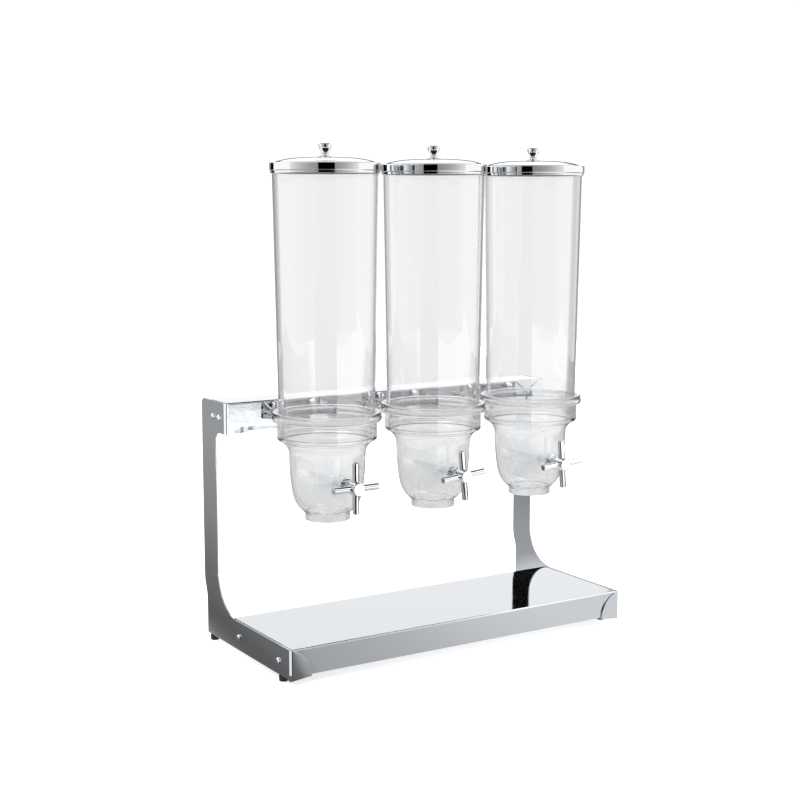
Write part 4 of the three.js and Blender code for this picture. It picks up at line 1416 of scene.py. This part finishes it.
@dataclass
class StationSet:
    """The pieces of one station, worked out once and placed at every station."""

    bowl: Bowl = field(default_factory=Bowl)
    holder: Holder = field(default_factory=Holder)
    chute: Chute = field(default_factory=Chute)
    drive: Drive = field(default_factory=Drive)
    cover: Cover = field(default_factory=Cover)
    top_radius: float = 73.1
    wall: float = 2.5
    foot_radius: float = 66.8
    bush_radius: float = 8.0
    bush_flange: float = 10.5
    bush_nose: float = 6.5
    names: tuple[str, ...] = ("left", "middle", "right")
    turns: tuple[float, ...] = (0.0, 5.5, 4.0)   # degrees that each handle and wheel stand off upright

    def canister(self, height: float) -> bpy.types.Mesh:
        """Tapered tube with fire-polished rims."""
        return turn(rounded([
            (self.foot_radius, 0, 1.0), (self.top_radius, height, 1.0),
            (self.top_radius - self.wall, height, 1.0), (self.foot_radius - self.wall, 0, 1.0),
        ], steps=5), 160).mesh("canister")

    def bush(self, back: float, front: float, flange: float = 2.5, nose: float = 5.0) -> bpy.types.Mesh:
        """Flanged bush along Y, between its inner end and the tip of its nose."""
        hole = self.drive.shaft + GAP
        seat = front - nose - flange
        profile = rounded([
            (hole, back, 0.3), (self.bush_radius, back, 0.4), (self.bush_radius, seat, 0.1),
            (self.bush_flange, seat, 0.4), (self.bush_flange, front - nose, 0.7),
            (self.bush_nose, front - nose, 0.4), (self.bush_nose, front, 0.8), (hole, front, 0.3),
        ], steps=4)
        return turn(profile, 64).turned(Z_TO_FRONT).mesh("bush")

    def build(self, shop: Shop) -> None:
        """Builds all three stations.

        Args:
            shop: Takes the finished pieces.
        """
        low, high = (np.array(corner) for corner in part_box("left_canister"))
        tube = self.canister(float((high - low)[2] / MM))
        axis_y = float((low + high)[1] / 2)
        seat = float(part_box("left_bowl")[1][2]) - (GAP + self.bowl.flange_height) * MM

        def along(node: str) -> tuple[float, float]:
            """Front and back of a node, in millimetres from the station's axis."""
            box_low, box_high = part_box(node)
            return (box_low[1] - axis_y) / MM, (box_high[1] - axis_y) / MM

        handle_front, handle_back = along("left_handle")
        shaft_front, shaft_back = along("left_shaft")
        bush_front, bush_back = along("left_shaft_bush")
        socket = handle_back - shaft_front - 1
        handle = self.drive.handle(handle_front, handle_back, socket)
        fixed = {
            "holder": (self.holder.mesh(), Finish.CLEAR, "holder_ring"),
            "bowl": (self.bowl.shell(), Finish.CLEAR, "bowl_shell"),
            "spout_ring": (self.bowl.spout_ring(), Finish.CLEAR, "spout_slip_ring"),
            "chute": (self.chute.mesh(self.bowl), Finish.FROSTED, "chute_insert"),
        }
        bush = self.bush(-bush_back, -bush_front)
        nut = self.holder.cap_nut()
        wheel = self.drive.wheel()
        shaft = self.drive.shaft_mesh(-shaft_back, -shaft_front)
        lid, seal, knob = self.cover.lid(), self.cover.seal(), self.cover.knob()
        nut_back = self.holder.face - self.holder.plate - GAP
        for name, degrees in zip(self.names, self.turns):
            low, high = (np.array(corner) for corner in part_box(f"{name}_canister"))
            axis = np.array([(low + high)[0] / 2, axis_y, seat])
            for node, (mesh, finish, label) in fixed.items():
                shop.piece(f"{name}_{label}", mesh, finish, "root", f"{name}_{node}", axis)
            for end, side in (("a", -1), ("b", 1)):
                across = side * self.holder.bolt_half
                place = axis + np.array([across, nut_back, self.holder.bolt_height]) * MM
                node = f"{name}_holder_bolt_{end}"
                shop.piece(f"{node}_cap_nut", nut, Finish.CHROME, "root", node, place)
            hub = axis + np.array([0, 0, self.bowl.axis_height]) * MM
            shop.piece(f"{name}_bush", bush, Finish.CHROME, "root", f"{name}_shaft_bush", hub)
            turning = f"{name}_paddle_unit"
            turned = self.tilted(wheel, degrees)
            shop.piece(f"{name}_wheel", turned, Finish.SILICONE, turning, f"{name}_paddle_wheel", hub)
            shop.piece(f"{name}_spindle", shaft, Finish.CHROME, turning, f"{name}_shaft", hub)
            turned = self.tilted(handle, degrees)
            shop.piece(f"{name}_cross_handle", turned, Finish.CHROME, turning, f"{name}_handle", hub)
            foot = np.array([axis[0], axis_y, low[2]])
            lifting = f"{name}_canister_unit"
            shop.piece(f"{name}_tube", tube, Finish.CLEAR, lifting, f"{name}_canister", foot)
            rim = np.array([axis[0], axis_y, high[2]])
            for mesh, finish, label, node in (
                (lid, Finish.CHROME, "lid_cap", "lid"), (seal, Finish.SILICONE, "lid_seal", "lid_gasket"),
                (knob, Finish.CHROME, "lift_knob", "lid_knob"),
            ):
                shop.piece(f"{name}_{label}", mesh, finish, f"{name}_lid_unit", f"{name}_{node}", rim)

    def tilted(self, mesh: bpy.types.Mesh, degrees: float) -> bpy.types.Mesh:
        """A copy of a mesh turned about Y: x' = x cos a - z sin a and z' = x sin a + z cos a."""
        made = mesh.copy()
        places = np.empty(len(made.vertices) * 3, np.float32)
        made.vertices.foreach_get("co", places)
        x, y, z = places.reshape(-1, 3).T
        angle = math.radians(degrees)
        turned = np.stack([x * math.cos(angle) - z * math.sin(angle), y,
                           x * math.sin(angle) + z * math.cos(angle)], 1)
        made.vertices.foreach_set("co", turned.astype(np.float32).ravel())
        made.update()
        return made


# ------------------------------------------------------------------ studio


def ray_tone(
    tree: bpy.types.NodeTree, mirror: object, through: object, inside: float, behind: float,
) -> tuple[bpy.types.NodeSocket, bpy.types.NodeSocket]:
    """Sorts rays that left a mirror or crossed clear plastic from plain ones, and gives each its tone.

    Args:
        tree: The node tree to add to.
        mirror: Tone, or socket with the tone, for rays that left a mirror.
        through: The same for rays that went straight through clear plastic.
        inside: Tone for rays that clear plastic turned back within its walls.
        behind: Tone for rays that left a mirror which stands behind clear plastic.

    Returns:
        The socket with the tone, and a socket that is one on those rays and nought on plain ones.
    """
    path = add_node(tree, "ShaderNodeLightPath")
    glossy = path.outputs["Is Glossy Ray"]
    crossed, turned = (
        add_node(tree, "ShaderNodeMath", {
            0: path.outputs[depth], 1: ONCE,
        }, operation="GREATER_THAN").outputs["Value"]
        for depth in ("Transmission Depth", "Glossy Depth")
    )
    left_wall = mixed(tree, turned, through, inside)
    plastic = mixed(tree, path.outputs["Is Transmission Ray"], behind, left_wall)
    tone = mixed(tree, crossed, mirror, plastic)
    special = add_node(tree, "ShaderNodeMath", {0: glossy, 1: crossed}, operation="MAXIMUM")
    return tone, special.outputs["Value"]


def show_to_mirrors(name: str, mesh: bpy.types.Mesh, material: bpy.types.Material, through: bool) -> None:
    """Adds a piece of the studio that only reflections show, and clear plastic too if asked.

    Args:
        name: The new object's name.
        mesh: Its mesh.
        material: Its glowing material.
        through: Whether it also shows through clear plastic.
    """
    material.cycles.emission_sampling = "NONE"
    mesh.materials.append(material)
    obj = bpy.data.objects.new(name, mesh)
    bpy.context.scene.collection.objects.link(obj)
    obj.visible_camera = obj.visible_diffuse = obj.visible_shadow = obj.visible_volume_scatter = False
    obj.visible_transmission = through


@dataclass
class Card:
    """A card that only reflections show, and refractions too if asked: a painted reflection, black, grey or
    brighter than white, bent round the object.

    Its tone runs from one value in its middle to another at its ends.
    """

    name: str
    centre: tuple[float, float]   # what it is bent round, in metres
    radius: float
    heading: float                # degrees from the camera's side, to the right as the camera sees it
    spread: float                 # degrees on each side of the heading
    low: float
    high: float
    middle_tone: float
    end_tone: float
    through: bool = False         # whether it also shows through clear plastic

    def build(self, towards_camera: float) -> None:
        """Adds the card.

        Args:
            towards_camera: Angle of the camera's side about Z, in radians.
        """
        share = np.linspace(-1, 1, 49)
        angle = towards_camera + np.radians(self.heading + share * self.spread)
        x = self.centre[0] + self.radius * np.cos(angle)
        y = self.centre[1] + self.radius * np.sin(angle)
        points = np.vstack([np.column_stack([x, y, np.full_like(x, z)]) for z in (self.low, self.high)])
        count = len(share)
        k = np.arange(count - 1)
        mesh = bpy.data.meshes.new(self.name)
        mesh.from_pydata(points, [], np.stack([k, k + 1, k + 1 + count, k + count], 1).tolist())
        tone = mesh.attributes.new("tone", "FLOAT", "POINT")
        tones = self.middle_tone + (self.end_tone - self.middle_tone) * share**2
        tone.data.foreach_set("value", np.tile(tones, 2).astype(np.float32))
        material, tree = new_material(self.name)
        shade = add_node(tree, "ShaderNodeAttribute", attribute_name="tone")
        glow = add_node(tree, "ShaderNodeEmission", {"Color": shade.outputs["Fac"]})
        if self.through:
            surface = glow.outputs["Emission"]
        else:
            clear = add_node(tree, "ShaderNodeBsdfTransparent")
            surface = add_node(tree, "ShaderNodeMixShader", {
                0: mirrored(tree), 1: clear.outputs["BSDF"], 2: glow.outputs["Emission"],
            }).outputs["Shader"]
        add_node(tree, "ShaderNodeOutputMaterial", {"Surface": surface})
        show_to_mirrors(self.name, mesh, material, self.through)


@dataclass
class Canopy:
    """A dark disc overhead that only mirrors show. It edges polished rods and rims with a dark line."""

    height: float = 1.7
    radius: float = 1.2
    tone: float = 0.02
    sides: int = 48

    def build(self) -> None:
        """Adds the disc."""
        angle = np.linspace(0, 2 * np.pi, self.sides, endpoint=False)
        x, y = self.radius * np.cos(angle), self.radius * np.sin(angle)
        points = np.stack([x, y, np.full_like(angle, self.height)], 1)
        mesh = bpy.data.meshes.new("canopy")
        mesh.from_pydata(points, [], [list(range(self.sides))])
        material, tree = new_material("canopy")
        glow = add_node(tree, "ShaderNodeEmission", {"Strength": self.tone})
        clear = add_node(tree, "ShaderNodeBsdfTransparent")
        surface = add_node(tree, "ShaderNodeMixShader", {
            0: mirrored(tree), 1: clear.outputs["BSDF"], 2: glow.outputs["Emission"],
        })
        add_node(tree, "ShaderNodeOutputMaterial", {"Surface": surface.outputs["Shader"]})
        show_to_mirrors("canopy", mesh, material, False)


@dataclass
class Studio:
    """Camera, floor, lamps and cards."""

    lens: float = 64.95
    sensor: float = 36.0
    place: tuple[float, float, float] = (-1.14473, -1.79617, 0.64571)
    heading: float = -31.88   # degrees, from +Y towards +X is negative
    pitch: float = -7.81
    floor_half: float = 3.5
    floor_colour: str = "#f6f7f8"
    # The floor's tones below, down to the dark patches, are a painted reflection that only mirrors see.
    shade_across: tuple[float, float, float] = (1.0, 0.17, 0.0)   # direction the floor's tones run in
    shade_reach: float = 2.0      # metres on each side of the middle that the floor's reflected tones span
    shade_stops: tuple[tuple[float, float], ...] = (   # metres along that direction, and reflected tone
        (-1.6, 0.5), (-0.77, 0.48), (-0.5, 0.36), (-0.37, 0.22), (-0.335, 0.2), (-0.315, 0.16),
        (-0.285, 0.17), (-0.26, 0.58), (-0.08, 0.72), (0.05, 0.89), (0.2, 1.0), (0.6, 1.0),
        (0.78, 0.12), (1.2, 0.12),
    )
    far_tone: float = 2.4         # the floor's reflected tone well in front of the object
    far_band: tuple[float, float] = (-0.9, -1.5)   # metres in Y over which that tone is reached
    dark_patches: tuple[tuple[float, float, float, float, float], ...] = (   # painted dark patches in the floor's reflection: x, y, full to, gone by, tone
        (0.8, 0.8, 0.45, 0.8, 0.12), (0.12, 0.8, 0.5, 0.6, 0.55),
    )
    paper_glow: float = 0.62      # lifts the shadow on the floor towards white
    # Painted tones: the floor and sky show these to rays that cross clear plastic, in place of what the
    # lighting gives them.
    floor_through: float = 0.76   # the floor's tone straight through clear plastic
    through_band: tuple[float, float] = (1.2, 3.0)   # metres out, where the floor behind plastic pales
    floor_inside: float = 0.62    # the floor's tone to rays turned back inside plastic
    sky_through: float = 1.0      # the sky's tone straight through clear plastic
    sky_inside: float = 0.88      # the sky's tone to rays turned back inside plastic
    behind: float = 1.5           # tone that steel shows when it is seen through plastic
    sky: float = 1.12             # the sky's tone to the camera and as a lamp
    sky_low: float = 1.2          # the sky's reflected tone near the horizon
    sky_high: float = 2.2         # and overhead
    sky_band: tuple[float, float] = (0.3, 0.9)       # sines of the heights between which it changes
    lamp_power: float = 30.0      # watts
    lamp_size: float = 2.4        # metres across
    lamp_place: tuple[float, float, float] = (-0.6, -0.5, 2.4)
    lamp_tilt: tuple[float, float] = (-12.0, -14.0)  # degrees about X and Y
    view_end: float = 30.0        # metres to the farthest thing that the camera shows

    def camera(self) -> None:
        """Adds the camera."""
        data = bpy.data.cameras.new("camera")
        data.lens = self.lens
        data.sensor_width = self.sensor
        data.clip_end = self.view_end
        camera = bpy.data.objects.new("camera", data)
        camera.location = self.place
        camera.rotation_euler = (math.radians(90 + self.pitch), 0, math.radians(self.heading))
        bpy.context.scene.collection.objects.link(camera)
        bpy.context.scene.camera = camera

    def floor(self) -> None:
        """Adds the pale floor. To polished steel it shows a painted reflection that falls off to grey near
        the object.
        """
        half = self.floor_half
        mesh = bpy.data.meshes.new("floor")
        corners = [(-half, -half, 0), (half, -half, 0), (half, half, 0), (-half, half, 0)]
        mesh.from_pydata(corners, [], [(0, 1, 2, 3)])
        material, tree = new_material("paper_white")
        paper = add_node(tree, "ShaderNodeBsdfDiffuse", {"Color": linear(self.floor_colour)})
        place = add_node(tree, "ShaderNodeTexCoord").outputs["Object"]
        across = add_node(tree, "ShaderNodeVectorMath", {
            0: place, 1: self.shade_across,
        }, operation="DOT_PRODUCT")
        share = add_node(tree, "ShaderNodeMapRange", {
            "Value": across.outputs["Value"], "From Min": -self.shade_reach, "From Max": self.shade_reach,
        })
        ramp = add_node(tree, "ShaderNodeValToRGB", {0: share.outputs["Result"]})
        stops = ramp.color_ramp.elements
        for i, (distance, tone) in enumerate(self.shade_stops):
            stop = stops[i] if i < len(stops) else stops.new(1.0)
            stop.position = (distance / self.shade_reach + 1) / 2
            stop.color = (tone, tone, tone, 1)
        depth = add_node(tree, "ShaderNodeSeparateXYZ", {0: place}).outputs["Y"]
        near, beyond = self.far_band
        front = add_node(tree, "ShaderNodeMapRange", {
            "Value": depth, "From Min": near, "From Max": beyond,
        })
        # Painted reflection: the tone that mirrors see of the floor, darkened in patches below.
        painted_reflection_tone = mixed(tree, front.outputs["Result"], ramp.outputs["Color"], self.far_tone)
        for x, y, inner, outer, dark in self.dark_patches:
            away = add_node(tree, "ShaderNodeVectorMath", {
                0: place, 1: (x, y, 0),
            }, operation="DISTANCE")
            patch = add_node(tree, "ShaderNodeMapRange", {
                "Value": away.outputs["Value"], "From Min": inner, "From Max": outer, "To Min": dark,
            })
            painted_reflection_tone = add_node(tree, "ShaderNodeMath", {0: painted_reflection_tone, 1: patch.outputs["Result"]},
                           operation="MULTIPLY").outputs["Value"]
        far_off = add_node(tree, "ShaderNodeVectorMath", {0: place}, operation="LENGTH")
        start, end = self.through_band
        pale = add_node(tree, "ShaderNodeMapRange", {
            "Value": far_off.outputs["Value"], "From Min": start, "From Max": end,
            "To Min": self.floor_through, "To Max": self.sky_through,
        })
        strength, special = ray_tone(tree, painted_reflection_tone, pale.outputs["Result"], self.floor_inside, self.behind)
        seen = add_node(tree, "ShaderNodeEmission", {"Strength": strength})
        lift = add_node(tree, "ShaderNodeEmission", {"Strength": self.paper_glow})
        bright = add_node(tree, "ShaderNodeAddShader", {
            0: paper.outputs["BSDF"], 1: lift.outputs["Emission"],
        })
        surface = add_node(tree, "ShaderNodeMixShader", {
            0: special, 1: bright.outputs["Shader"], 2: seen.outputs["Emission"],
        })
        add_node(tree, "ShaderNodeOutputMaterial", {"Surface": surface.outputs["Shader"]})
        material.cycles.emission_sampling = "NONE"
        mesh.materials.append(material)
        floor = bpy.data.objects.new("floor", mesh)
        bpy.context.scene.collection.objects.link(floor)

    def light(self) -> None:
        """Adds a white sky, even to the camera and as a lamp, with a painted gradient for mirrors and
        painted tones through clear plastic, and one large soft lamp overhead.
        """
        world = bpy.data.worlds.new("painted_sky_gradient")
        world.use_nodes = True
        world.node_tree.nodes.clear()
        tree = world.node_tree
        heading = add_node(tree, "ShaderNodeTexCoord").outputs["Generated"]
        height = add_node(tree, "ShaderNodeSeparateXYZ", {0: heading}).outputs["Z"]
        low, high = self.sky_band
        # Painted reflection: the sky that mirrors see brightens from the horizon to overhead.
        painted_sky_gradient = add_node(tree, "ShaderNodeMapRange", {
            "Value": height, "From Min": low, "From Max": high,
            "To Min": self.sky_low, "To Max": self.sky_high,
        })
        tone, special = ray_tone(
            tree, painted_sky_gradient.outputs["Result"], self.sky_through, self.sky_inside, self.behind,
        )
        strength = mixed(tree, special, self.sky, tone)
        glow = add_node(tree, "ShaderNodeBackground", {"Color": (1, 1, 1, 1), "Strength": strength})
        add_node(tree, "ShaderNodeOutputWorld", {"Surface": glow.outputs["Background"]})
        bpy.context.scene.world = world
        data = bpy.data.lights.new("softbox", "AREA")
        data.shape = "DISK"
        data.size = self.lamp_size
        data.energy = self.lamp_power
        lamp = bpy.data.objects.new("softbox", data)
        lamp.location = self.lamp_place
        lamp.rotation_euler = (*(math.radians(angle) for angle in self.lamp_tilt), 0)
        lamp.visible_camera = False
        bpy.context.scene.collection.objects.link(lamp)

    def build(self) -> None:
        """Sets up the whole studio."""
        scene = bpy.context.scene
        scene.view_settings.view_transform = "Standard"
        scene.cycles.max_bounces = 32
        scene.cycles.transmission_bounces = 32
        scene.cycles.glossy_bounces = 8
        scene.cycles.transparent_max_bounces = 32
        scene.cycles.sample_clamp_indirect = 4
        self.camera()
        self.floor()
        self.light()
        turned = math.radians(-self.heading)
        towards = math.atan2(-math.cos(turned), -math.sin(turned))
        # Painted reflections: black lines, grey fields and bright glints that only mirrors show, and plastic
        # where asked.
        cards = [
            Card("high_flag", (0.0, -0.05), 0.66, -8.0, 14.0, 0.5, 0.95, 0.0, 0.0),
            Card("low_flag", (0.0, -0.05), 0.66, -10.7, 20.5, 0.02, 0.5, 0.0, 0.0),
            Card("corner_line", (-0.285, -0.1355), 0.05, 36.0, 16.0, 0.0, 0.07, 0.0, 0.0),
            Card("corner_light", (-0.285, -0.1355), 0.05, -45.0, 62.0, 0.0, 0.07, 1.3, 1.3),
            Card("bar_corner_line", (-0.285, 0.0555), 0.05, 36.0, 16.0, 0.25, 0.37, 0.0, 0.0),
            Card("bar_corner_light", (-0.285, 0.0555), 0.05, -45.0, 62.0, 0.25, 0.37, 1.6, 1.6),
            Card("rear_low", (0.0, 0.0), 2.2, 180.0, 40.0, 0.95, 1.3, 0.12, 0.12),
            Card("front_grey", (0.0, 0.0), 1.9, 0.0, 70.0, 0.25, 1.6, 0.3, 1.0),
            Card("rear_black", (0.283, 0.11), 1.5, -116.2, 10.0, 0.3, 1.1, 0.0, 0.02),
            Card("left_edge_flag", (0.0, 0.0), 2.2, -150.0, 14.0, -0.2, 1.6, 0.3, 0.7, True),
            Card("right_edge_flag", (0.0, 0.0), 2.2, 150.0, 14.0, -0.2, 1.6, 0.3, 0.7, True),
        ]
        for card in cards:
            card.build(towards)
        Canopy().build()


def main() -> None:
    """Builds the dispenser piece by piece round its frame."""
    logging.basicConfig(level=logging.INFO, format="%(message)s")
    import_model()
    shop = Shop()
    Studio().build()
    Stand().build(shop)
    StationSet().build(shop)
    LOG.info("%d pieces", len(shop.made))


if __name__ == "__main__":
    main()
